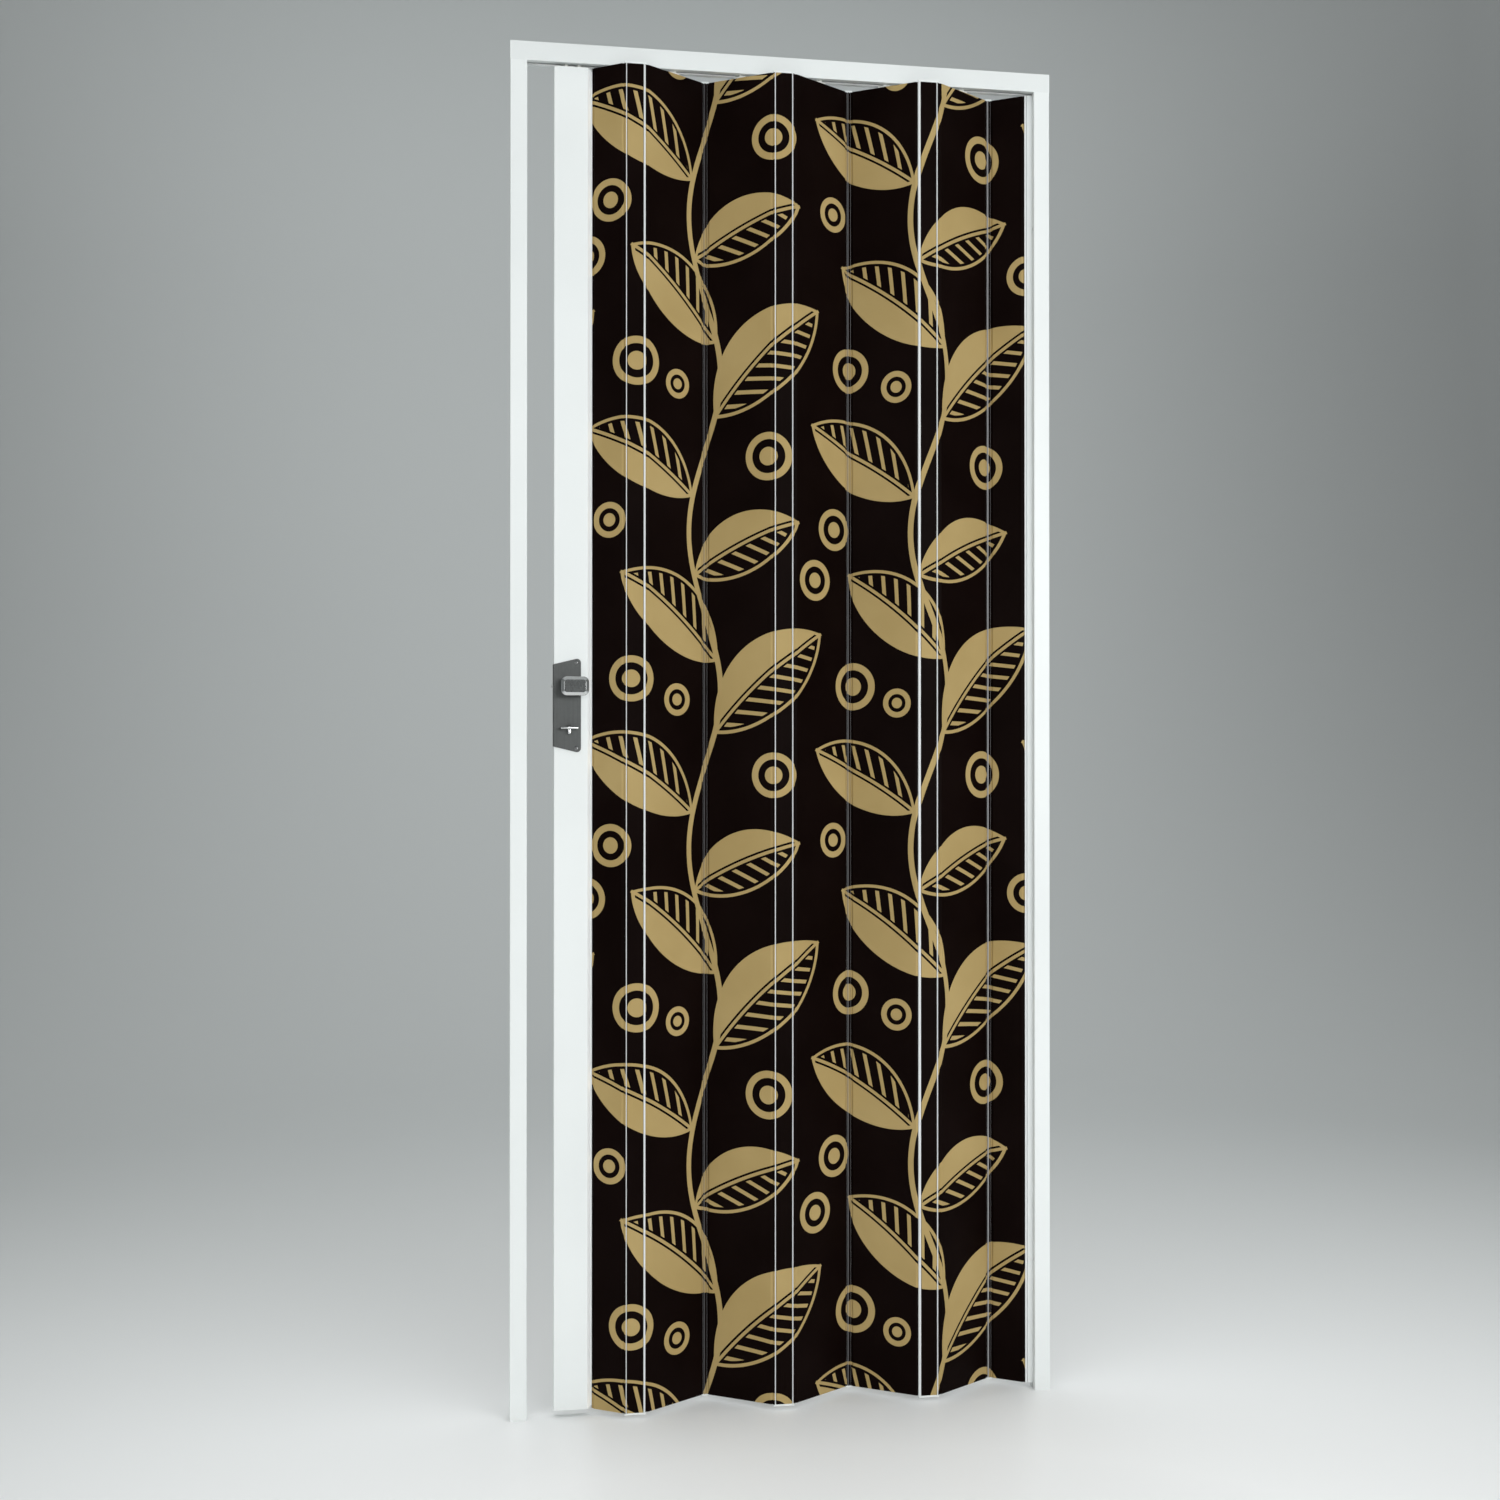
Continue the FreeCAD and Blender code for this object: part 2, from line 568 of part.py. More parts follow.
def glider_pin(body, gap):
    """Stem with a round head that hangs in the track, turned up from so far under the head rail."""
    under = f"({gap} + lip_thick + glide_gap)"
    top = f"({under} + glider_height)"
    lathe(body, (
        ("0", "0"), ("stem_radius", "0"), ("stem_radius", under), ("glider_radius", under),
        ("glider_radius", f"{top} - glider_crown"), ("glider_radius - glider_crown", top), ("0", top),
    ))


def make_glider(label, fold, x):
    """Glider with its plug in a slat's middle chamber and its collar on the slat's end."""
    body = new_body(label)
    glider_pin(body, "slat_head_gap")
    room = f"((panel_pitch - 2 * shoulder_reach - slat_wall) / {FULL_CHAMBERS} - slat_wall)"
    plug_half = f"({room} / 2 - peg_play)"
    thick_half = "(slat_thick / 2 - slat_wall - peg_play)"
    plug = new_sketch(body, "XY_Plane", label + "_plug")
    rectangle(plug, f"-{plug_half}", plug_half, f"-{thick_half}", thick_half)
    pad(body, plug, "plug_depth", reverse=True)
    collar = new_sketch(body, "XY_Plane", label + "_collar")
    ledge = f"({plug_half} + collar_ledge)"
    rectangle(collar, f"-{ledge}", ledge, "-slat_thick / 2", "slat_thick / 2")
    pad(body, collar, "collar_thick")
    place(body, x, "0", SLAT_TOP)
    turn_about_z(body, f"{fold} * rest_fold")
    return keep(body, label)


def make_strip(label, pitch, chambers, x, y):
    """Strip between two slats, with a bead on its web along each edge."""
    length = f"({SLAT_LENGTH} + 2 * cap_gap)"
    body = new_body(label)
    section = new_sketch(body, "XY_Plane", label + "_section")
    half = f"({pitch} / 2 - {EDGE})"
    rectangle(section, f"-{half}", half, f"-{BARREL}", BARREL)
    for left, right in strip_chambers(pitch, chambers):
        rectangle(section, left, right, f"-{BARREL} + slat_wall", f"{BARREL} - slat_wall")
    pad(body, section, length)
    for end, name in ((-1, "left"), (1, "right")):
        edge, axis = f"{end} * {half}", f"{end} * {pitch} / 2"
        add_bead(body, f"{label}_{name}", end, edge, axis, length, "slat_wall / 2")
    place(body, x, y, "slat_floor_gap - cap_gap")
    return keep(body, label)


def strip_chambers(pitch, count):
    """Left and right walls of a strip's chambers."""
    half = f"({pitch} / 2 - {EDGE})"
    room = f"((2 * {half} - slat_wall) / {max(count, 1)})"
    walls = []
    for index in range(count):
        walls.append((f"-{half} + slat_wall + {index} * {room}", f"-{half} + {index + 1} * {room}"))
    return walls


def make_strip_caps(label, pitch, chambers, x, y):
    """Caps on a strip's two ends that keep the slats' barrels from sliding off its beads."""
    caps = []
    seats = (("lower", "slat_floor_gap - cap_gap", True), ("upper", f"{SLAT_TOP} + cap_gap", False))
    for name, base, downward in seats:
        body = new_body(f"{label}_{name}")
        plate = new_sketch(body, "XY_Plane", f"{label}_{name}_plate")
        rectangle(plate, f"-{pitch} / 2", f"{pitch} / 2", f"-{BARREL}", BARREL)
        pad(body, plate, "cap_thick", reverse=downward)
        ends = new_sketch(body, "XY_Plane", f"{label}_{name}_ends")
        for end in (-1, 1):
            circle(ends, f"{end} * {pitch} / 2", "0", BARREL)
        pad(body, ends, "cap_thick", reverse=downward)
        if chambers:
            pegs = new_sketch(body, "XY_Plane", f"{label}_{name}_pegs")
            for left, right in strip_chambers(pitch, chambers):
                rectangle(pegs, f"{left} + peg_play", f"{right} - peg_play",
                          f"-{BARREL} + slat_wall + peg_play", f"{BARREL} - slat_wall - peg_play")
            pad(body, pegs, "cap_peg_depth", reverse=not downward)
        place(body, x, y, base)
        caps.append(body)
    return keep(group(label, caps), label)


def make_chain():
    """Slats and strips from the fixed hinge to the leading post, in folding order."""
    half = "(panel_pitch / 2)"
    make_slat("half_panel_fixed", half, HALF_CHAMBERS, -1, along(0.5, 0, 0), f"{SWING} / 2")
    for fold in range(1, FOLDS + 1):
        done = 4 * (fold - 1) + 1
        valley_x = along(done, fold - 0.5, fold - 1)
        make_strip(f"valley_strip_{fold}", "valley_pitch", VALLEY_CHAMBERS, valley_x, SWING)
        make_strip_caps(f"valley_caps_{fold}", "valley_pitch", VALLEY_CHAMBERS, valley_x, SWING)
        back_x = along(done + 1, fold, fold - 1)
        make_slat(f"panel_{2 * fold - 1}", "panel_pitch", FULL_CHAMBERS, 1, back_x, "0")
        make_glider(f"panel_glider_{2 * fold - 1}", 1, back_x)
        ridge_x = along(done + 2, fold, fold - 0.5)
        make_strip(f"ridge_strip_{fold}", "ridge_pitch", RIDGE_CHAMBERS, ridge_x, f"-{SWING}")
        make_strip_caps(f"ridge_caps_{fold}", "ridge_pitch", RIDGE_CHAMBERS, ridge_x, f"-{SWING}")
        if fold < FOLDS:
            front_x = along(done + 3, fold, fold)
            make_slat(f"panel_{2 * fold}", "panel_pitch", FULL_CHAMBERS, -1, front_x, "0")
            make_glider(f"panel_glider_{2 * fold}", -1, front_x)
        else:
            lead_x = along(done + 2.5, fold, fold)
            make_slat("half_panel_lead", half, HALF_CHAMBERS, -1, lead_x, f"-{SWING} / 2")


def post_outline(sketch):
    """Section of the leading post, square at its free edge and bevelled beside its hinge."""
    deep = "post_depth / 2"
    outline(sketch, (
        ("0", f"-{deep}"), ("post_width - post_nose", f"-{deep}"), ("post_width", "-post_nose_half"),
        ("post_width", "post_nose_half"), ("post_width - post_nose", deep), ("0", deep),
    ))


def post_edge(a, b):
    """True for the post's four long edges on its front and back faces."""
    return upright(a, b) and abs(a.y) > value("post_depth / 2 - post_wall / 2")


def make_post():
    """Leading post: a hollow profile with a room for the lock, a hinge bead, and the lock's openings."""
    length = f"({POST_TOP} - {POST_BOTTOM})"
    body = new_body("post_profile")
    section = new_sketch(body, "XY_Plane", "post_section")
    post_outline(section)
    deep = "post_depth / 2"
    rib = "(post_wall + lock_room)"
    for left, right in (("post_wall", rib), (f"{rib} + post_wall", "post_width - post_nose")):
        rectangle(section, left, right, f"-{deep} + post_wall", f"{deep} - post_wall")
    pad(body, section, length)
    soften(body, "Fillet", "post_round", post_edge)
    add_bead(body, "post", 1, "post_width", f"post_width + {EDGE}", length, "post_wall / 2")
    place(body, POST_EDGE, "0", POST_BOTTOM)
    case_half = "(case_depth / 2 + case_play)"
    mortise = (f"{POST_EDGE} - post_wall", f"{POST_EDGE} + post_wall + case_play")
    case_z = ("lock_height - case_height / 2 - case_play", "lock_height + case_height / 2 + case_play")
    tools = [box("post_mortise", mortise, (f"-{case_half}", case_half), case_z)]
    for name, x, radius, height in spindle_holes():
        tools.append(rod(f"post_{name}", radius, "2 * post_depth", (x, "-post_depth", height), BACK))
    return keep(cut("lead_post", body, tools), "lead_post")


def spindle_holes():
    """Holes along Y through the post and its lock plates: name, X, radius and height."""
    holes = [
        ("knob_hole", KNOB_X, "spindle_radius + hub_play", KNOB_Z),
        ("turn_hole", TURN_X, "turn_spindle_radius + hub_play", TURN_Z),
    ]
    for height in PLATE_SCREWS:
        holes.append(("screw_hole", PLATE_SCREW_X, "sleeve_radius + screw_play", height))
    return holes


def make_post_caps():
    """Plugs that close the post's two ends; the upper one carries its gliders."""
    caps, gliders = [], []
    for name, base, downward in (("lower", POST_BOTTOM, True), ("upper", POST_TOP, False)):
        body = new_body("post_cap_" + name)
        plate = new_sketch(body, "XY_Plane", f"post_cap_{name}_plate")
        post_outline(plate)
        pad(body, plate, "post_cap", reverse=downward)
        soften(body, "Fillet", "post_round", post_edge)
        deep = "post_depth / 2"
        plug = new_sketch(body, "XY_Plane", f"post_cap_{name}_plug")
        rectangle(plug, "post_wall + peg_play", "post_wall + lock_room - peg_play",
                  f"-{deep} + post_wall + peg_play", f"{deep} - post_wall - peg_play")
        pad(body, plug, "plug_depth", reverse=not downward)
        place(body, POST_EDGE, "0", base)
        caps.append(body)
    for sign in (-1, 1):
        pin = new_body("post_glider_pin")
        glider_pin(pin, "post_head_gap")
        x = f"{POST_EDGE} + post_width / 2 + {sign} * post_glider_pitch / 2"
        place(pin, x, "0", f"{POST_TOP} + post_cap")
        gliders.append(pin)
    keep(group("post_caps", caps), "post_caps")
    keep(group("post_gliders", gliders), "post_gliders")


def make_lock_case():
    """Mortise case with its edge plate, bored for the hubs, the latch pin and the dead bolt."""
    half_depth, half_height = "case_depth / 2", "case_height / 2"
    z = (f"lock_height - {half_height}", f"lock_height + {half_height}")
    shell = box("case_shell", (POST_EDGE, f"{POST_EDGE} + case_length"), (f"-{half_depth}", half_depth), z)
    edge_x = (f"{POST_EDGE} - forend_thick", POST_EDGE)
    edge_z = ("lock_height - forend_height / 2", "lock_height + forend_height / 2")
    edge = box("case_edge", edge_x, ("-forend_depth / 2", "forend_depth / 2"), edge_z)
    knob_start = (KNOB_X, "-case_depth", KNOB_Z)
    turn_start = (TURN_X, "-case_depth", TURN_Z)
    latch_start = (f"{POST_EDGE} - 2 * forend_thick", "0", KNOB_Z)
    latch_run = "2 * forend_thick + latch_length + latch_stroke"
    bolt_half = "(bolt_thick / 2 + bolt_play)"
    bolt_rise = "(bolt_rise / 2 + bolt_play)"
    bolt_end = f"{POST_EDGE} - forend_thick + bolt_sink + bolt_length + bolt_play"
    tools = [
        rod("case_knob_bore", "hub_radius + hub_play", "2 * case_depth", knob_start, BACK),
        rod("case_turn_bore", "turn_hub_radius + hub_play", "2 * case_depth", turn_start, BACK),
        rod("case_latch_bore", "latch_radius + hub_play", latch_run, latch_start, RIGHT),
        box("case_bolt_channel", (latch_start[0], bolt_end), (f"-{bolt_half}", bolt_half),
            (f"{TURN_Z} - {bolt_rise}", f"{TURN_Z} + {bolt_rise}")),
    ]
    return keep(cut("lock_case", fuse("case_blank", [shell, edge]), tools), "lock_case")


def rounded_corner(a, b):
    """True for the two short edges through a lock plate on its rounded side."""
    return min(a.x, b.x) > value("plate_width / 2") and abs(a.z - b.z) < value("plate_thick")


def make_lock_plates():
    """Front and rear plates, taller at their rounded side, with the screws that clamp them."""
    sides = (("front_lock_plate", False, "-post_depth / 2"), ("rear_lock_plate", True, "post_depth / 2"))
    tall = "(plate_screw_span / 2 + plate_screw_end)"
    short = f"({tall} - plate_taper)"
    corners = (("0", f"-{short}"), ("plate_width", f"-{tall}"), ("plate_width", tall), ("0", short))
    for label, reverse, face in sides:
        body = new_body(label + "_blank")
        sketch = new_sketch(body, "XZ_Plane", label + "_outline")
        outline(sketch, corners)
        pad(body, sketch, "plate_thick", reverse)
        soften(body, "Fillet", "plate_round", rounded_corner)
        place(body, POST_EDGE, face, "lock_height")
        tools = []
        for name, x, radius, height in spindle_holes():
            tools.append(rod(f"{label}_{name}", radius, "2 * post_depth", (x, "-post_depth", height), BACK))
        keep(cut(label, body, tools), label)
    screws, sleeves = [], []
    for height in PLATE_SCREWS:
        seat = (PLATE_SCREW_X, f"-{PLATE_FACE}", height)
        screws.append(screw("plate_screw", seat, FRONT, "post_depth / 2"))
        sleeve = new_body("plate_sleeve")
        inner, reach = "screw_shank + screw_play / 2", f"2 * {PLATE_FACE} - screw_rise / 2"
        lathe(sleeve, ((inner, f"-({reach})"), ("sleeve_radius", f"-({reach})"), ("sleeve_radius", "0"),
                       ("screw_head", "0"), ("screw_head", "screw_rise"), (inner, "screw_rise")))
        sleeve.Placement.Rotation = FreeCAD.Rotation(UP, BACK)
        place(sleeve, PLATE_SCREW_X, PLATE_FACE, height)
        sleeves.append(sleeve)
    keep(group("plate_screws", screws), "plate_screws")
    keep(group("plate_sleeves", sleeves), "plate_sleeves")


def make_knobs():
    """Knob on each face, on one spindle with the hub that draws the latch pin back."""
    for label, outward in (("front_knob", FRONT), ("rear_knob", BACK)):
        body = new_body(label + "_blank")
        grip = new_sketch(body, "XY_Plane", label + "_grip", "neck_length")
        rectangle(grip, "-knob_length / 2", "knob_length / 2", "-knob_rise / 2", "knob_rise / 2")
        pad(body, grip, "knob_depth")
        soften(body, "Fillet", "knob_corner", upright)
        middle = value("neck_length + knob_depth / 2")
        soften(body, "Chamfer", "knob_bevel", lambda a, b: min(a.z, b.z) > middle)
        neck = new_sketch(body, "XY_Plane", label + "_neck", "knob_gap")
        circle(neck, "0", "0", "neck_radius")
        pad(body, neck, "neck_length + knob_depth / 2")
        body.Placement.Rotation = FreeCAD.Rotation(UP, outward)
        seat = (KNOB_X, f"-{PLATE_FACE}" if outward == FRONT else PLATE_FACE, KNOB_Z)
        place(body, *seat)
        bore = rod(label + "_bore", "spindle_radius + peg_play", "spindle_engage", seat, outward)
        keep(cut(label, body, [bore]), label)
    body = new_body("knob_spindle")
    spindle_profile(body, "spindle_radius", "hub_radius")
    body.Placement.Rotation = FreeCAD.Rotation(UP, BACK)
    place(body, KNOB_X, "0", KNOB_Z)
    keep(body, "knob_spindle")


def spindle_profile(body, radius, hub):
    """Spindle through the post with a wider hub inside the lock case."""
    reach = f"({PLATE_FACE} + spindle_engage - peg_play)"
    inside = "(post_depth / 2 - post_wall - hub_play)"
    lathe(body, (("0", f"-{reach}"), (radius, f"-{reach}"), (radius, f"-{inside}"), (hub, f"-{inside}"),
                 (hub, inside), (radius, inside), (radius, reach), ("0", reach)))


def make_turns():
    """Turn piece on each face, on one spindle with the hub that throws the dead bolt."""
    for label, outward in (("front_turn", FRONT), ("rear_turn", BACK)):
        body = new_body(label + "_blank")
        rose = new_sketch(body, "XY_Plane", label + "_rose", "knob_gap")
        circle(rose, "0", "0", "rose_radius")
        pad(body, rose, "rose_thick")
        wing = new_sketch(body, "XY_Plane", label + "_wing", "knob_gap")
        rectangle(wing, "-turn_length / 2", "turn_length / 2", "-turn_wing / 2", "turn_wing / 2")
        pad(body, wing, "rose_thick + turn_depth")
        pointer = new_sketch(body, "XY_Plane", label + "_pointer", "knob_gap")
        low, high = ("-turn_pointer", "0") if outward == FRONT else ("0", "turn_pointer")
        rectangle(pointer, "-turn_pointer_width / 2", "turn_pointer_width / 2", low, high)
        pad(body, pointer, "rose_thick + turn_depth / 2")
        body.Placement.Rotation = FreeCAD.Rotation(UP, outward)
        seat = (TURN_X, f"-{PLATE_FACE}" if outward == FRONT else PLATE_FACE, TURN_Z)
        place(body, *seat)
        bore = rod(label + "_bore", "turn_spindle_radius + peg_play", "spindle_engage", seat, outward)
        keep(cut(label, body, [bore]), label)
    body = new_body("turn_spindle")
    spindle_profile(body, "turn_spindle_radius", "turn_hub_radius")
    body.Placement.Rotation = FreeCAD.Rotation(UP, BACK)
    place(body, TURN_X, "0", TURN_Z)
    keep(body, "turn_spindle")


def make_bolts():
    """Round-nosed latch pin and square dead bolt, both run along X in the lock case."""
    pin = new_body("latch_pin")
    tip = "(forend_thick + latch_reach)"
    lathe(pin, (
        ("0", "-latch_length"), ("latch_radius", "-latch_length"), ("latch_radius", f"{tip} - latch_nose"),
        ("latch_radius - latch_nose", tip), ("0", tip),
    ))
    pin.Placement.Rotation = FreeCAD.Rotation(UP, -RIGHT)
    place(pin, POST_EDGE, "0", KNOB_Z)
    keep(pin, "latch_pin")
    start = f"{POST_EDGE} - forend_thick + bolt_sink"
    bolt = box("dead_bolt", (start, f"{start} + bolt_length"), ("-bolt_thick / 2", "bolt_thick / 2"),
               (f"{TURN_Z} - bolt_rise / 2", f"{TURN_Z} + bolt_rise / 2"))
    keep(bolt, "dead_bolt")


def make_strike():
    """Strike plate on the latch jamb, with its two screws."""
    outer = f"({LATCH_FACE} + strike_thick)"
    half = "(strike_screw_span / 2 + strike_screw_end)"
    z = (f"lock_height - {half}", f"lock_height + {half}")
    plate = box("strike_blank", (LATCH_FACE, outer), ("-strike_depth / 2", "strike_depth / 2"), z)
    behind = f"({LATCH_FACE} - strike_thick)"
    tools = strike_holes("strike", behind, "3 * strike_thick")
    screws = []
    for height in STRIKE_SCREWS:
        start = (behind, "0", height)
        tools.append(rod("strike_screw_hole", "screw_shank + screw_play", "3 * strike_thick", start, RIGHT))
        screws.append(screw("strike_screw", (outer, "0", height), RIGHT, "screw_length", "strike_thick"))
    keep(cut("strike_plate", plate, tools), "strike_plate")
    keep(group("strike_screws", screws), "strike_screws")


def write_nodes():
    """Checks every object, then writes one file per node."""
    doc.recompute()
    for thing in doc.Objects:
        if "Invalid" in thing.State or "Error" in thing.State:
            raise RuntimeError(f"{thing.Label} did not build: {thing.State}")
    for node in nodes:
        if node.Shape.isNull() or not node.Shape.isValid():
            raise RuntimeError(f"{node.Label} has no valid shape")
    os.makedirs("parts", exist_ok=True)
    for node in nodes:
        node.Shape.exportStep(f"parts/{node.Label}.step")
    print(f"{len(nodes)} nodes, door width {value(DOOR_WIDTH):.1f} mm")


make_jamb("latch_jamb", -1)
make_jamb("hinge_jamb", 1)
make_head_rail()
make_corner_keys()
make_wall_profile()
make_strike()
make_chain()
make_post()
make_post_caps()
make_lock_case()
make_lock_plates()
make_knobs()
make_turns()
make_bolts()
write_nodes()
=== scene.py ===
"""Looks of the accordion folding door: finishes, fine metalwork, studio and camera.

Everything is in metres in the row frame: +X to the right as seen from the front, +Y to the back, +Z up.
"""

import json
import logging
import math
from dataclasses import dataclass, field
from enum import Enum
from functools import reduce
from itertools import product
from typing import Sequence, Union

import bmesh
import bpy
from bpy.types import ID, Material, Node, NodeSocket, NodeTree, Object
from mathutils import Matrix, Vector

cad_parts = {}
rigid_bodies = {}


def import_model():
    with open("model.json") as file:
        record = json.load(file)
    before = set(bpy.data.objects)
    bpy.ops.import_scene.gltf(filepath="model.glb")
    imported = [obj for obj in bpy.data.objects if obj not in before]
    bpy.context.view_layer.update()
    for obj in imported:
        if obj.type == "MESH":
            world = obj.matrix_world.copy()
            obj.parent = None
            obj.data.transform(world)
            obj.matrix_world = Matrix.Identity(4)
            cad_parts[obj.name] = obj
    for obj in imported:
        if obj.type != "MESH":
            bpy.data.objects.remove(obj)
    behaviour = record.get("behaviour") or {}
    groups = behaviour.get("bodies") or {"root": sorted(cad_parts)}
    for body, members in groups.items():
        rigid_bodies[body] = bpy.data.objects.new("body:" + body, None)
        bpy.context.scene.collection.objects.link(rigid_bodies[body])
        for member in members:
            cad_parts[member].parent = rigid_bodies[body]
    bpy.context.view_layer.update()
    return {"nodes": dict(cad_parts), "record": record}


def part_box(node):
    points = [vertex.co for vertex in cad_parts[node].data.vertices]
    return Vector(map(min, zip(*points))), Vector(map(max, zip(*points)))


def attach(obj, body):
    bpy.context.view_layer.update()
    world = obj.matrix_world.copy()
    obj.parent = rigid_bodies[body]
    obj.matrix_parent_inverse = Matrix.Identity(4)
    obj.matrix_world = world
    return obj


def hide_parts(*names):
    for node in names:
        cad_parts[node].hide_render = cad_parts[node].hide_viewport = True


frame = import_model()
LOG = logging.getLogger("folding_door")
LEAST_CORNER = 0.0002
# Kinds of socket of a group, by the type of what goes through them.
SOCKETS = {"VALUE": "NodeSocketFloat", "RGBA": "NodeSocketColor", "GEOMETRY": "NodeSocketGeometry"}

Colour = tuple[float, float, float]
Range = tuple[float, float]
Spot = tuple[float, float, float]
Profile = tuple[tuple[float, float], ...]
Feed = Union[float, Sequence[float], NodeSocket, "Output"]


def rgba(colour: Colour) -> tuple[float, float, float, float]:
    """Adds a full alpha to a colour."""
    return (*colour, 1.0)


@dataclass(frozen=True)
class Noise:
    """Smooth noise: number of lumps in a unit, finer layers and their strength."""

    scale: float
    detail: float = 2.0
    rough: float = 0.5


class Output:
    """What comes out of a node; Python's own signs add the Math nodes that reckon with it."""

    def __init__(self, socket: NodeSocket) -> None:
        """Keeps the socket."""
        self.socket = socket

    def math(self, operation: str, *terms: Feed) -> "Output":
        """Adds a Math node.

        Args:
            operation: Name of the operation.
            terms: Its other numbers, in order.

        Returns:
            The number that comes out.
        """
        graph = Graph(self.socket.id_data)
        made = graph.node("ShaderNodeMath", operation=operation)
        for socket, term in zip(made.inputs, (self, *terms)):
            graph.feed(socket, term)
        return Output(made.outputs[0])

    def __add__(self, other: Feed) -> "Output":
        """Sum."""
        return self.math("ADD", other)

    def __sub__(self, other: Feed) -> "Output":
        """Difference."""
        return self.math("SUBTRACT", other)

    def __mul__(self, other: Feed) -> "Output":
        """Product, or the mask of where two masks meet."""
        return self.math("MULTIPLY", other)

    def __truediv__(self, other: Feed) -> "Output":
        """Quotient."""
        return self.math("DIVIDE", other)

    def __pow__(self, other: Feed) -> "Output":
        """Power."""
        return self.math("POWER", other)

    def __abs__(self) -> "Output":
        """Number without its sign."""
        return self.math("ABSOLUTE")

    def __lt__(self, other: Feed) -> "Output":
        """Mask of where this number is the smaller one."""
        return self.math("LESS_THAN", other)

    def __gt__(self, other: Feed) -> "Output":
        """Mask of where this number is the larger one."""
        return self.math("GREATER_THAN", other)


def most(*terms: Output) -> Output:
    """Largest of several numbers."""
    return reduce(lambda first, second: first.math("MAXIMUM", second), terms)


class Graph:
    """Writes a node tree: a method adds a node or more and gives back what comes out."""

    def __init__(self, tree: NodeTree) -> None:
        """Keeps the tree that the nodes go into."""
        self.tree = tree

    def node(self, kind: str, **settings: object) -> Node:
        """Adds a node.

        Args:
            kind: Blender's name for the type of node.
            settings: Properties of the node.

        Returns:
            The new node.
        """
        made = self.tree.nodes.new(kind)
        for name, setting in settings.items():
            setattr(made, name, setting)
        return made

    def feed(self, socket: NodeSocket, source: Feed) -> None:
        """Links a socket to an output, or sets its own value.

        Args:
            socket: The socket.
            source: The output or the value.
        """
        if isinstance(source, Output):
            source = source.socket
        if isinstance(source, NodeSocket):
            self.tree.links.new(source, socket)
        else:
            socket.default_value = rgba(source) if socket.type == "RGBA" else source

    def add(self, kind: str, sources: dict[str, object], **settings: object) -> Output:
        """Adds a node and feeds its inputs by name.

        Args:
            kind: Blender's name for the type of node.
            sources: Feed, or list of feeds, of each named input.
            settings: Properties of the node.

        Returns:
            Its first output that is in use.
        """
        made = self.node(kind, **settings)
        for name, source in sources.items():
            socket = next(item for item in made.inputs if item.enabled and item.name == name)
            for single in source if isinstance(source, list) else [source]:
                self.feed(socket, single)
        return Output(next(item for item in made.outputs if item.enabled))

    def blend(self, share: Feed, first: Feed, second: Feed) -> Output:
        """Mixes two colours by the share of the second."""
        return self.add("ShaderNodeMix", {"Factor": share, "A": first, "B": second}, data_type="RGBA")

    def between(self, share: Feed, low: Feed, high: Feed) -> Output:
        """Mixes two numbers by the share of the second."""
        return self.add("ShaderNodeMix", {"Factor": share, "A": low, "B": high}, data_type="FLOAT")

    def split(self, vector: Feed) -> tuple[Output, ...]:
        """Three parts of a vector."""
        parts = self.add("ShaderNodeSeparateXYZ", {"Vector": vector}).socket.node.outputs
        return tuple(Output(part) for part in parts)

    def vector(self, x: Feed, y: Feed, z: Feed) -> Output:
        """Vector of three numbers."""
        return self.add("ShaderNodeCombineXYZ", {"X": x, "Y": y, "Z": z})

    def object_place(self, scale: Sequence[float] = (1, 1, 1), turn: Sequence[float] = (0, 0, 0),
                     shift: Sequence[float] = (0, 0, 0)) -> Output:
        """Place in the row frame, scaled, then turned, then shifted.

        Args:
            scale: Factors along the three axes.
            turn: Turn about the three axes, in radians.
            shift: Shift along the three axes.

        Returns:
            The mapped place.
        """
        place = self.node("ShaderNodeTexCoord").outputs["Object"]
        sources = {"Vector": place, "Scale": scale, "Rotation": turn, "Location": shift}
        return self.add("ShaderNodeMapping", sources, vector_type="POINT")

    def noise(self, place: Feed, noise: Noise) -> Output:
        """Smooth noise at a place, from 0 to 1."""
        sources = {"Vector": place, "Scale": noise.scale, "Detail": noise.detail, "Roughness": noise.rough}
        return self.add("ShaderNodeTexNoise", sources)

    def ramp(self, number: Feed, low: float, high: float, kind: str = "LINEAR") -> Output:
        """Spreads a number so that low becomes 0 and high becomes 1, held between them."""
        sources = {"Value": number, "From Min": low, "From Max": high}
        return self.add("ShaderNodeMapRange", sources, clamp=True, interpolation_type=kind)

    def bump(self, height: Feed, depth: float, share: float) -> Output:
        """Normal of a surface with heights from 0 to 1 over a depth in metres, shown by a share."""
        return self.add("ShaderNodeBump", {"Height": height, "Distance": depth, "Strength": share})

    def group(self, tree: NodeTree, sources: dict[str, Feed]) -> Output:
        """Adds a group node and gives back its first output."""
        return self.add("ShaderNodeGroup", sources, node_tree=tree)


class Tree(Enum):
    """Kind of a node group; the value is Blender's name for it."""

    SHADER = "ShaderNodeTree"
    SHAPE = "GeometryNodeTree"


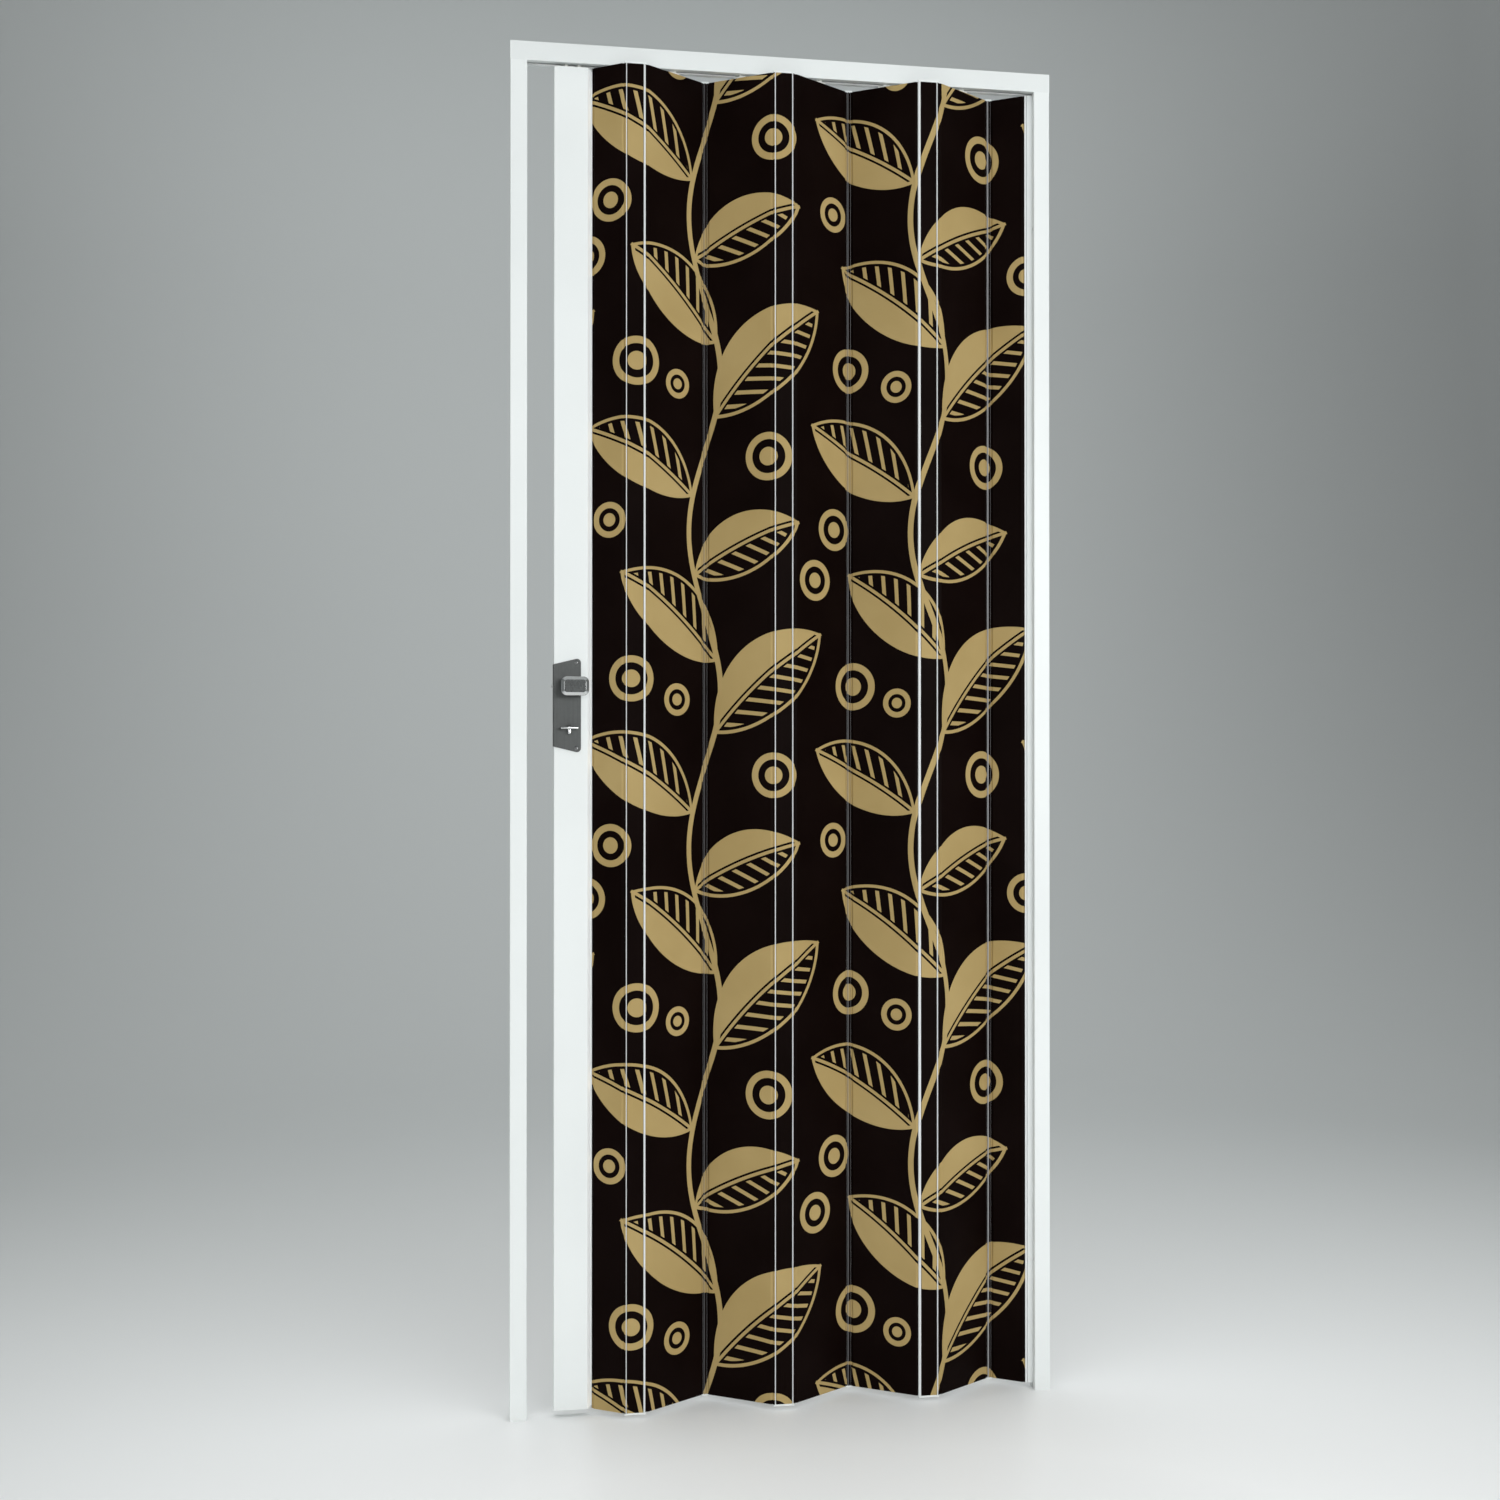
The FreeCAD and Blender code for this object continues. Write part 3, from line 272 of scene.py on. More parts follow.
class GroupDraft(Graph):
    """Node group with named inputs and outputs."""

    def __init__(self, kind: Tree, name: str, inputs: dict[str, str]) -> None:
        """Starts an empty group.

        Args:
            kind: Kind of the group.
            name: Name of the group.
            inputs: Kind of socket of each named input.
        """
        super().__init__(bpy.data.node_groups.new(name, kind.value))
        for word, socket in inputs.items():
            self.tree.interface.new_socket(word, in_out="INPUT", socket_type=socket)
        given = self.node("NodeGroupInput").outputs
        self.inputs = {word: Output(given[word]) for word in inputs}

    def identifier(self, word: str) -> str:
        """Identifier of a named input."""
        return next(item.identifier for item in self.tree.interface.items_tree
                    if item.in_out == "INPUT" and item.name == word)

    def close(self, **results: Output) -> NodeTree:
        """Gives the group its outputs.

        Args:
            results: Source of each output, named in small letters.

        Returns:
            The group's tree.
        """
        for name, source in results.items():
            kind = SOCKETS[source.socket.type]
            self.tree.interface.new_socket(name.capitalize(), in_out="OUTPUT", socket_type=kind)
        end = self.node("NodeGroupOutput")
        for name, source in results.items():
            self.feed(end.inputs[name.capitalize()], source)
        return self.tree


def place_group(name: str, *numbers: str) -> GroupDraft:
    """Starts a shader group whose inputs are a place and named numbers."""
    kinds = {"Place": "NodeSocketVector", **dict.fromkeys(numbers, SOCKETS["VALUE"])}
    return GroupDraft(Tree.SHADER, name, kinds)


@dataclass(frozen=True)
class Finish:
    """Base of every finish: a name and the values that are the same all over the surface."""

    name: str
    specular: float = 0.5
    metallic: float = 0.0

    def surface(self, graph: Graph) -> dict[str, Feed]:
        """Feeds of the shader's named inputs, which each kind of finish has of its own."""
        raise NotImplementedError

    def material(self) -> Material:
        """Builds the material.

        Returns:
            The material.
        """
        material = bpy.data.materials.new(self.name)
        material.use_nodes = True
        material.node_tree.nodes.clear()
        graph = Graph(material.node_tree)
        sources = {"Specular IOR Level": self.specular, "Metallic": self.metallic, **self.surface(graph)}
        shader = graph.add("ShaderNodeBsdfPrincipled", sources)
        graph.feed(graph.node("ShaderNodeOutputMaterial").inputs["Surface"], shader)
        return material


class Grain(Enum):
    """Way in which a profile was drawn or a metal was brushed: scale of the streaks along X, Y and Z."""

    UPRIGHT = (420.0, 420.0, 1.6)
    ACROSS = (1.6, 420.0, 420.0)
    MOULDED = (900.0, 900.0, 900.0)


@dataclass(frozen=True)
class WhitePlastic(Finish):
    """White plastic with faint die lines, uneven gloss and a little dust by the floor."""

    colour: Colour = (0.80, 0.83, 0.825)
    shade: Colour = (0.755, 0.785, 0.78)
    dust: Colour = (0.66, 0.66, 0.64)
    grain: Grain = Grain.UPRIGHT
    gloss: Range = (0.30, 0.42)
    streaks: Noise = Noise(1.0, 3.0, 0.6)
    streak_range: Range = (0.3, 0.7)
    relief: float = 0.00006
    relief_share: float = 0.5
    clouds: Noise = Noise(3.5)
    cloud_range: Range = (0.35, 0.7)
    dust_spots: Noise = Noise(60.0, 4.0, 0.65)
    dust_height: float = 0.035
    dust_share: float = 0.5

    def tone(self, graph: Graph, place: Feed) -> Output:
        """Colour of the plastic.

        Args:
            graph: Graph of the material.
            place: Place in the row frame.

        Returns:
            The colour, cloudy and with dust near the floor.
        """
        clouds = graph.ramp(graph.noise(place, self.clouds), *self.cloud_range)
        plain = graph.blend(clouds, self.colour, self.shade)
        low = graph.ramp(graph.split(place)[2], self.dust_height, 0.0)
        dusty = low * graph.noise(place, self.dust_spots) * self.dust_share
        return graph.blend(dusty, plain, self.dust)

    def surface(self, graph: Graph) -> dict[str, Feed]:
        """Feeds the shader's inputs.

        Args:
            graph: Graph of the material.

        Returns:
            The feeds, by the names of the inputs.
        """
        streaks = graph.noise(graph.object_place(self.grain.value), self.streaks)
        return {"Base Color": self.tone(graph, graph.object_place()),
                "Roughness": graph.between(graph.ramp(streaks, *self.streak_range), *self.gloss),
                "Normal": graph.bump(streaks, self.relief, self.relief_share)}


@dataclass(frozen=True)
class TrackPlastic(WhitePlastic):
    """White head rail with painted light within its track, which lightens the shade that falls there."""

    # Paler colour painted within the track: painted light over the shade of the recess.
    track_painted_light: Colour = (0.93, 0.94, 0.935)
    track_half: float = 0.0105
    track_low: float = 2.0121
    track_high: float = 2.0268

    def tone(self, graph: Graph, place: Feed) -> Output:
        """Colour of the plastic, with painted light within the track.

        Args:
            graph: Graph of the material.
            place: Place in the row frame.

        Returns:
            The colour.
        """
        _, depth, height = graph.split(place)
        # Mask of the track's shaded hollow, which gets the painted light.
        painted_light_mask = (abs(depth) < self.track_half) * (height > self.track_low) * (height < self.track_high)
        return graph.blend(painted_light_mask, super().tone(graph, place), self.track_painted_light)


@dataclass(frozen=True)
class PostPlastic(WhitePlastic):
    """White post with painted light on the bevel beside its hinge, which lightens the shade that falls there.
    """

    # Paler white on the bevel: painted light.
    bevel: Colour = (0.95, 0.965, 0.96)
    bevel_from: float = 0.0

    def tone(self, graph: Graph, place: Feed) -> Output:
        """Colour of the plastic, with painted light past the start of the bevel.

        Args:
            graph: Graph of the material.
            place: Place in the row frame.

        Returns:
            The colour.
        """
        bevel_painted_light = graph.split(place)[0] > self.bevel_from
        return graph.blend(bevel_painted_light, super().tone(graph, place), self.bevel)


@dataclass(frozen=True)
class Nylon(Finish):
    """Milky running plastic of the gliders, rubbed dull where it slides."""

    colour: Colour = (0.78, 0.79, 0.75)
    rubbed: Colour = (0.62, 0.62, 0.58)
    gloss: Range = (0.38, 0.6)
    milkiness: float = 0.15
    milk_depth: Spot = (0.002, 0.002, 0.0018)
    marks: Noise = Noise(300.0, 4.0, 0.6)
    mark_range: Range = (0.48, 0.75)
    relief: float = 0.00008
    relief_share: float = 0.4

    def surface(self, graph: Graph) -> dict[str, Feed]:
        """Feeds the shader's inputs.

        Args:
            graph: Graph of the material.

        Returns:
            The feeds, by the names of the inputs.
        """
        marks = graph.noise(graph.object_place(), self.marks)
        share = graph.ramp(marks, *self.mark_range)
        return {"Subsurface Weight": self.milkiness, "Subsurface Radius": self.milk_depth,
                "Base Color": graph.blend(share, self.colour, self.rubbed),
                "Roughness": graph.between(share, *self.gloss),
                "Normal": graph.bump(marks, self.relief, self.relief_share)}


@dataclass(frozen=True)
class BrushedMetal(Finish):
    """Satin metal with brushing lines and faint handling marks."""

    metallic: float = 1.0
    colour: Colour = (0.30, 0.31, 0.31)
    bright: Colour = (0.42, 0.43, 0.43)
    grain: Grain = Grain.UPRIGHT
    fineness: float = 4.0
    brushing: Noise = Noise(1.0, 4.0, 0.7)
    brush_range: Range = (0.3, 0.75)
    marks: Noise = Noise(180.0, 3.0, 0.6)
    mark_range: Range = (0.45, 0.8)
    rough: float = 0.34
    wear: float = 0.14
    relief: float = 0.00004
    relief_share: float = 0.5

    def surface(self, graph: Graph) -> dict[str, Feed]:
        """Feeds the shader's inputs.

        Args:
            graph: Graph of the material.

        Returns:
            The feeds, by the names of the inputs.
        """
        lines = tuple(self.fineness * part for part in self.grain.value)
        brushing = graph.noise(graph.object_place(lines), self.brushing)
        worn = graph.ramp(graph.noise(graph.object_place(), self.marks), *self.mark_range)
        return {"Base Color": graph.blend(graph.ramp(brushing, *self.brush_range), self.colour, self.bright),
                "Roughness": graph.between(worn, self.rough, self.rough + self.wear),
                "Normal": graph.bump(brushing, self.relief, self.relief_share)}


@dataclass(frozen=True)
class StudioPaper(Finish):
    """Studio floor and wall as one sheet, with painted light and shade: a painted pool of light on the floor
    in front of the door fades into a grey wall, which is painted lighter higher up and painted darker towards
    its sides.
    """

    specular: float = 0.2
    floor: Colour = (0.92, 0.93, 0.93)
    wall: Colour = (0.472, 0.492, 0.492)
    # Lighter wall colour higher up: painted light.
    wall_top: Colour = (0.617, 0.643, 0.643)
    # Middle, narrowing and reach of a painted pool of light on the floor, which fades into the wall colour.
    pool: Spot = (0.0, 0.9, 0.0)
    narrowing: float = 0.9
    near: float = 0.72
    far: float = 3.2
    falloff: float = 0.48
    wall_high: float = 4.5
    # Painted shade that darkens the wall towards its sides.
    side_shade_knee: float = 40.0
    side_shade_middle: float = 0.2
    side_shade_most: float = 0.54
    side_shade_power: float = 3.0
    # Colour that the wall is darkened towards, as painted shade at its sides.
    dark: Colour = (0.0, 0.0, 0.0)
    gloss_lumps: Noise = Noise(2.5)
    gloss: Range = (0.34, 0.42)

    def surface(self, graph: Graph) -> dict[str, Feed]:
        """Feeds the shader's inputs.

        Args:
            graph: Graph of the material.

        Returns:
            The feeds, by the names of the inputs.
        """
        # Painted pool of light: the floor colour near its middle, the wall colour farther out.
        across, depth, height = graph.split(graph.object_place(shift=self.pool))
        beside = across * self.narrowing
        reach = (depth * depth + beside * beside).math("SQRT")
        share = graph.ramp(reach, self.near, self.far, "SMOOTHSTEP") ** self.falloff
        # Painted shade towards the sides of the wall.
        steep = abs(across - self.side_shade_middle) ** self.side_shade_power
        painted_side_shade = (steep / (steep + self.side_shade_knee)).math("MINIMUM", self.side_shade_most)
        # Painted light: the wall lighter higher up.
        lit = graph.blend(graph.ramp(height, 0.0, self.wall_high), self.wall, self.wall_top)
        wall = graph.blend(painted_side_shade, lit, self.dark)
        gloss = graph.noise(graph.object_place(), self.gloss_lumps)
        return {"Base Color": graph.blend(share, self.floor, wall),
                "Roughness": graph.between(gloss, *self.gloss)}


class Fold(Enum):
    """What a slat's edge meets, and on which side of the slat its white barrel shows: -1 front, 1 back."""

    RIDGE = -1.0
    VALLEY = 1.0
    NONE = 0.0


@dataclass(frozen=True)
class Stem:
    """Wavy stem of the print, in unrolled metres."""

    middle: float = 0.196
    swing: float = 0.030
    wave: float = 0.48
    half_width: float = 0.0044

    def at(self, height: float) -> float:
        """Where the stem is at a height."""
        return self.middle + self.swing * math.sin(math.tau * height / self.wave)


@dataclass(frozen=True)
class Leaf:
    """Pointed leaf that starts on the stem; turn in degrees from the row's right."""

    root: float
    turn: float
    length: float
    width: float
    bend: float


@dataclass(frozen=True)
class Berry:
    """Ring with a round middle."""

    across: float
    height: float
    radius: float
    half_width: float


@dataclass(frozen=True)
class PrintDesign:
    """Leaf-and-berry pattern, repeated in columns that drop by half a repeat."""

    column: float = 0.392
    repeat: float = 0.96
    rib: float = 0.0024
    margin: float = 0.0056
    vein_step: float = 0.026
    vein_share: float = 0.3
    vein_slope: float = 0.9
    vein_inset: float = 0.009
    berry_middle: float = 0.45
    stem: Stem = Stem()
    leaves: tuple[Leaf, ...] = (
        Leaf(0.055, 40, 0.236, 0.112, 0.85), Leaf(0.165, 143, 0.216, 0.104, -0.9),
        Leaf(0.295, 24, 0.192, 0.092, 0.9), Leaf(0.415, 152, 0.204, 0.096, -0.9),
        Leaf(0.535, 43, 0.240, 0.114, 0.85), Leaf(0.650, 140, 0.204, 0.100, -0.9),
        Leaf(0.775, 23, 0.192, 0.092, 0.9), Leaf(0.895, 150, 0.218, 0.104, -0.85))
    berries: tuple[Berry, ...] = (
        Berry(0.072, 0.608, 0.031, 0.0054), Berry(0.144, 0.582, 0.018, 0.0042),
        Berry(0.312, 0.952, 0.029, 0.0052), Berry(0.304, 0.472, 0.031, 0.0054),
        Berry(0.064, 0.136, 0.029, 0.0052), Berry(0.143, 0.106, 0.020, 0.0044),
        Berry(0.384, 0.288, 0.026, 0.0050), Berry(0.030, 0.372, 0.022, 0.0046),
        Berry(0.032, 0.848, 0.027, 0.0050))

    def local(self, graph: Graph, place: Feed, across: Feed, height: Feed) -> tuple[Output, Output]:
        """Place about the nearest copy of a motif.

        Args:
            graph: Graph of the motif's group.
            place: Unrolled place.
            across: Middle of the motif across the door.
            height: Middle of the motif up the door.

        Returns:
            The place's parts across and up.
        """
        along, _, up = graph.split(place)
        offset = along - across
        number = (offset / self.column + 0.5).math("FLOOR")
        dropped = number * (self.repeat / 2) + (up - height)
        return offset - number * self.column, dropped.math("WRAP", self.repeat / 2, -self.repeat / 2)

    def leaf_tree(self) -> NodeTree:
        """Draws a leaf: one half full, the other with veins, and a rib between them.

        Returns:
            The group.
        """
        graph = place_group("print_leaf", "Across", "Height", "Turn", "Half length", "Half width", "Bend")
        given = graph.inputs
        x, z = self.local(graph, given["Place"], given["Across"], given["Height"])
        cosine, sine = given["Turn"].math("COSINE"), given["Turn"].math("SINE")
        half, wide = given["Half length"], given["Half width"]
        along = x * cosine + z * sine
        bow = along * along - half * half
        side = given["Bend"] * bow + (z * cosine - x * sine)
        radius = (wide * wide + half * half) / (wide * 2.0)
        depth = abs(side) + (radius - wide)
        rim = (depth * depth + along * along).math("SQRT") - radius
        full = (rim < 0.0) * (side > self.margin)
        edge = abs(rim + self.rib) < self.rib
        rib = (abs(side) < self.rib) * (abs(along) < half)
        step = ((side * self.vein_slope + along) / self.vein_step).math("FRACT")
        vein = (step < self.vein_share) * (side < -self.margin) * (rim < -self.vein_inset)
        return graph.close(ink=most(full, edge, rib, vein))

    def stem_tree(self) -> NodeTree:
        """Draws the stem.

        Returns:
            The group.
        """
        graph = place_group("print_stem")
        x, z = self.local(graph, graph.inputs["Place"], self.stem.middle, 0.0)
        pitch = math.tau / self.stem.wave
        phase = z * pitch
        slope = phase.math("COSINE") * (self.stem.swing * pitch)
        offset = phase.math("SINE") * -self.stem.swing + x
        stretch = (slope * slope + 1.0).math("SQRT")
        return graph.close(ink=abs(offset) < stretch * self.stem.half_width)

    def berry_tree(self) -> NodeTree:
        """Draws a berry.

        Returns:
            The group.
        """
        graph = place_group("print_berry", "Across", "Height", "Radius", "Half width")
        given = graph.inputs
        x, z = self.local(graph, given["Place"], given["Across"], given["Height"])
        reach = (x * x + z * z).math("SQRT")
        ring = abs(reach - given["Radius"]) < given["Half width"]
        return graph.close(ink=most(ring, reach < given["Radius"] * self.berry_middle))

    def tree(self) -> NodeTree:
        """Draws the whole print on an unrolled place.

        Returns:
            The group.
        """
        leaf_tree, berry_tree = self.leaf_tree(), self.berry_tree()
        graph = place_group("print_design")
        place = {"Place": graph.inputs["Place"]}
        inks = [graph.group(self.stem_tree(), place)]
        for leaf in self.leaves:
            turn, half = math.radians(leaf.turn), leaf.length / 2
            spot = {"Across": self.stem.at(leaf.root) + half * math.cos(turn),
                    "Height": leaf.root + half * math.sin(turn)}
            form = {"Turn": turn, "Half length": half, "Half width": leaf.width / 2, "Bend": leaf.bend}
            inks.append(graph.group(leaf_tree, {**place, **spot, **form}))
        for berry in self.berries:
            spot = {"Across": berry.across, "Height": berry.height}
            form = {"Radius": berry.radius, "Half width": berry.half_width}
            inks.append(graph.group(berry_tree, {**place, **spot, **form}))
        return graph.close(ink=most(*inks))


@dataclass(frozen=True)
class Edge:
    """Edge of a printed piece: its hinge, its fold, and how far in it is worn pale and bare of film."""

    axis: Vector
    fold: Fold
    seam: float
    lip: float


@dataclass(frozen=True)
class Strip:
    """Printed piece of the chain: its edges, its place on the print and the strength of its pale line."""

    node: str
    left: Edge
    right: Edge
    start: float
    half_thick: float
    pale: float

    @property
    def span(self) -> Vector:
        """Way from the left hinge to the right one."""
        return self.right.axis - self.left.axis

    @property
    def turn(self) -> float:
        """Turn of the piece about the vertical, in radians."""
        return math.atan2(self.span.y, self.span.x)


@dataclass(frozen=True)
class PrintedFilm:
    """Dark printed film on a white core, with the core bare at the hinge barrels and the cut ends."""

    film: Colour = (0.0032, 0.0011, 0.0007)
    film_light: Colour = (0.0052, 0.0023, 0.0018)
    ink: Colour = (0.386, 0.280, 0.116)
    ink_light: Colour = (0.430, 0.317, 0.138)
    core: Colour = (0.80, 0.83, 0.825)
    lip: Colour = (0.73, 0.75, 0.75)
    seam: Colour = (0.42, 0.42, 0.43)
    film_thick: float = 0.00012
    past_middle: float = 0.0004
    shoulder: float = 0.0056
    line_place: float = 0.0026
    line_half: float = 0.0008
    lower_end: float = 0.0091
    upper_end: float = 2.0089
    grain: Noise = Noise(1500.0)
    clouds: Noise = Noise(9.0, 3.0)
    cloud_range: Range = (0.35, 0.7)
    film_gloss: Range = (0.42, 0.52)
    ink_gloss: Range = (0.48, 0.58)
    core_gloss: float = 0.36
    ink_rise: float = 0.15

    def tree(self, design: NodeTree) -> NodeTree:
        """Group that gives the film's colour, roughness and relief at an unrolled place.

        Args:
            design: Group of the print.

        Returns:
            The group.
        """
        graph = place_group("printed_film", "Start", "End", "Start side", "End side", "Start seam",
                            "End seam", "Start lip", "End lip", "Half thick", "Pale")
        given, place = graph.inputs, graph.inputs["Place"]
        along, depth, height = graph.split(place)
        ink = graph.group(design, {"Place": place})
        grain = graph.noise(place, self.grain)
        clouds = graph.ramp(graph.noise(place, self.clouds), *self.cloud_range)
        dark = graph.blend(clouds, self.film, self.film_light)
        gold = graph.blend(clouds, self.ink, self.ink_light)
        colour = graph.blend(ink, dark, gold)
        edges = (along - given["Start"], given["End"] - along)
        lips, seams = [], [(abs(edges[0] - self.line_place) < self.line_half) * given["Pale"]]
        for edge, word in zip(edges, ("Start", "End")):
            side, reach = given[word + " side"], given[word + " seam"]
            lips.append((edge < given[word + " lip"]) * (depth * side > -self.past_middle) * abs(side))
            seams.append((edge < reach) * (reach > 0.0))
        body = (edges[0] > self.shoulder) * (edges[1] > self.shoulder)
        under_film = abs(depth) < given["Half thick"] - self.film_thick
        core = most(body * under_film, height < self.lower_end, height > self.upper_end)
        lip = most(*lips)
        for mask, bare in ((most(*seams), self.seam), (lip, self.lip), (core, self.core)):
            colour = graph.blend(mask, colour, bare)
        glosses = [graph.between(grain, *gloss) for gloss in (self.film_gloss, self.ink_gloss)]
        rough = graph.between(most(core, lip), graph.between(ink, *glosses), self.core_gloss)
        relief = ink * self.ink_rise + grain * (1 - self.ink_rise)
        return graph.close(colour=colour, roughness=rough, relief=relief)


@dataclass(frozen=True, kw_only=True)
class StripFinish(Finish):
    """Printed film on one piece of the chain."""

    film: NodeTree
    strip: Strip
    specular: float = 0.03
    relief: float = 0.00004
    relief_share: float = 0.6

    def surface(self, graph: Graph) -> dict[str, Feed]:
        """Feeds the shader's inputs.

        Args:
            graph: Graph of the material.

        Returns:
            The feeds, by the names of the inputs.
        """
        strip = self.strip
        back = Matrix.Rotation(-strip.turn, 3, "Z")
        shift = Vector((strip.start, 0, 0)) - back @ strip.left.axis
        place = graph.object_place(turn=(0, 0, -strip.turn), shift=shift)
        sources = {"Place": place, "Start": strip.start, "End": strip.start + strip.span.length,
                   "Half thick": strip.half_thick, "Pale": strip.pale}
        for word, edge in (("Start", strip.left), ("End", strip.right)):
            sources |= {word + " side": edge.fold.value, word + " seam": edge.seam, word + " lip": edge.lip}
        made = graph.group(self.film, sources).socket.node.outputs
        return {"Base Color": made["Colour"], "Roughness": made["Roughness"],
                "Normal": graph.bump(made["Relief"], self.relief, self.relief_share)}


def made_of(finish: Finish) -> Material:
    """Field that holds the material of a finish, built when the set of finishes is made."""
    return field(default_factory=finish.material)


@dataclass
class Finishes:
    """Plain finishes of the door, each built once."""

    upright: Material = made_of(WhitePlastic("white_profile"))
    # The head rail's whites are darker than the other profiles': painted shade, for the shade that the head
    # sits in.
    across: Material = made_of(TrackPlastic(
        "white_head", colour=(0.755, 0.785, 0.78), shade=(0.715, 0.745, 0.74), grain=Grain.ACROSS))
    moulded: Material = made_of(WhitePlastic(
        "white_moulding", grain=Grain.MOULDED, gloss=(0.42, 0.52)))
    nylon: Material = made_of(Nylon("glider_nylon"))
    plate: Material = made_of(BrushedMetal(
        "lock_plate", colour=(0.10, 0.104, 0.103), bright=(0.135, 0.14, 0.139), rough=0.46))
    knob: Material = made_of(BrushedMetal(
        "knob_face", colour=(0.095, 0.099, 0.098), bright=(0.125, 0.13, 0.129), grain=Grain.ACROSS,
        rough=0.26))
    bevel: Material = made_of(BrushedMetal(
        "knob_bevel", colour=(0.64, 0.65, 0.65), bright=(0.74, 0.75, 0.75), grain=Grain.ACROSS, rough=0.1))
    screw: Material = made_of(BrushedMetal(
        "lock_screw", colour=(0.2, 0.205, 0.205), bright=(0.27, 0.277, 0.277), grain=Grain.MOULDED,
        rough=0.24))
    steel: Material = made_of(BrushedMetal(
        "plated_steel", colour=(0.45, 0.46, 0.46), bright=(0.6, 0.61, 0.61), rough=0.3))
    chrome: Material = made_of(BrushedMetal(
        "bright_chrome", colour=(0.74, 0.75, 0.75), bright=(0.84, 0.85, 0.85), grain=Grain.ACROSS,
        rough=0.16))
    satin: Material = made_of(BrushedMetal(
        "satin_nickel", colour=(0.9, 0.9, 0.89), bright=(0.95, 0.95, 0.94), grain=Grain.ACROSS, rough=0.5))


def dress_nodes(material: Material, *names: str) -> None:
    """Gives CAD nodes a material.

    Args:
        material: The material.
        names: Names of the nodes.
    """
    for name in names:
        slots = frame["nodes"][name].data.materials
        slots.clear()
        slots.append(material)
        LOG.info("dressed %s with %s", name, material.name)


@dataclass
class FrameSet:
    """Jambs, head, corner keys and strike."""

    finishes: Finishes

    def build(self) -> None:
        """Builds the screws of the frame."""
        ScrewSet("strike_screws", "frame", (1, 0, 0), self.finishes.steel, rise=0.001, low_rise=0.001,
                 seed=3).build()
        ScrewSet("corner_screws", "frame", (0, 1, 0), self.finishes.steel, low_rise=0.0016, seed=5).build()

    def dress(self) -> None:
        """Dresses the pieces of the frame."""
        dress_nodes(self.finishes.upright, "latch_jamb", "hinge_jamb", "wall_profile")
        dress_nodes(self.finishes.across, "head_rail")
        dress_nodes(self.finishes.moulded, "corner_keys")
        dress_nodes(self.finishes.steel, "strike_plate")


@dataclass
class FoldingChain:
    """Slats, strips, caps and gliders between the wall profile and the post."""

    finishes: Finishes
    folds: int = 3
    half_thick: float = 0.003
    seam: float = 0.0007
    lip: float = 0.0002
    left_lips: tuple[float, ...] = (0.0019, -0.0014, -0.0016)
    right_lips: tuple[float, ...] = (-0.0014, -0.0014, -0.0003)
    pale: tuple[float, ...] = (1.0, 0.32, 0.2)

    def axes(self) -> dict[tuple[str, str], Vector]:
        """Finds the hinge axes of the chain.

        Returns:
            The axes, by the two bodies that they join.
        """
        joints = frame["record"]["behaviour"]["joints"]
        return {(joint["parent"], joint["child"]): Vector(joint["pos_m"]) for joint in joints
                if joint["name"].startswith("fold")}

    def order(self) -> list[str]:
        """Finds the order of the chain.

        Returns:
            The bodies from the post to the wall.
        """
        parents = {child: parent for parent, child in self.axes()}
        chain = ["post"]
        while chain[-1] in parents:
            chain.append(parents[chain[-1]])
        return chain

    def strips(self) -> list[Strip]:
        """Lists the printed pieces, with their places on the unrolled print.

        Returns:
            The pieces from the post to the wall.
        """
        axes, chain, made, start = self.axes(), self.order(), [], 0.0
        for after, body, before in zip(chain, chain[1:], chain[2:]):
            node = body.replace("valley", "valley_strip").replace("ridge", "ridge_strip")
            is_strip = node != body
            low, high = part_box(node)
            thick = (high.y - low.y) / 2 if is_strip else self.half_thick
            left = self.edge(axes[body, after], after, is_strip, self.right_lips)
            right = self.edge(axes[before, body], before, is_strip, self.left_lips)
            pale = self.pale[int(body[-1]) - 1] if body.startswith("valley") else 0.0
            made.append(Strip(node, left, right, start, thick, pale))
            start += made[-1].span.length
        return made

    def edge(self, axis: Vector, other: str, is_strip: bool, lips: Sequence[float]) -> Edge:
        """Describes the edge of a piece beside its neighbour.

        Args:
            axis: Place of the hinge.
            other: Body of the neighbour.
            is_strip: Whether the piece is a strip, which has no barrel.
            lips: How far the slats are bare beside each front strip, from the hinge inwards.

        Returns:
            The edge.
        """
        by_ridge = other.startswith("ridge")
        fold = Fold.RIDGE if by_ridge or other == "frame" else Fold.VALLEY
        if is_strip:
            fold = Fold.NONE
        seam = self.seam if fold is Fold.VALLEY else 0.0
        lip = lips[int(other[-1]) - 1] if by_ridge else self.lip
        return Edge(Vector((axis.x, axis.y, 0.0)), fold, seam, lip)

    def dress(self) -> None:
        """Dresses the pieces of the chain."""
        film = PrintedFilm().tree(PrintDesign().tree())
        for strip in self.strips():
            finish = StripFinish("printed_film_" + strip.node, film=film, strip=strip)
            dress_nodes(finish.material(), strip.node)
        for number in range(1, self.folds + 1):
            dress_nodes(self.finishes.moulded, f"valley_caps_{number}", f"ridge_caps_{number}")
        dress_nodes(self.finishes.nylon, *(f"panel_glider_{number}" for number in range(1, 2 * self.folds)))


def place_object(name: str, data: ID) -> Object:
    """Puts a new object into the scene.

    Args:
        name: Name of the object.
        data: Its mesh, light or camera.

    Returns:
        The object.
    """
    made = bpy.data.objects.new(name, data)
    bpy.context.scene.collection.objects.link(made)
    return made


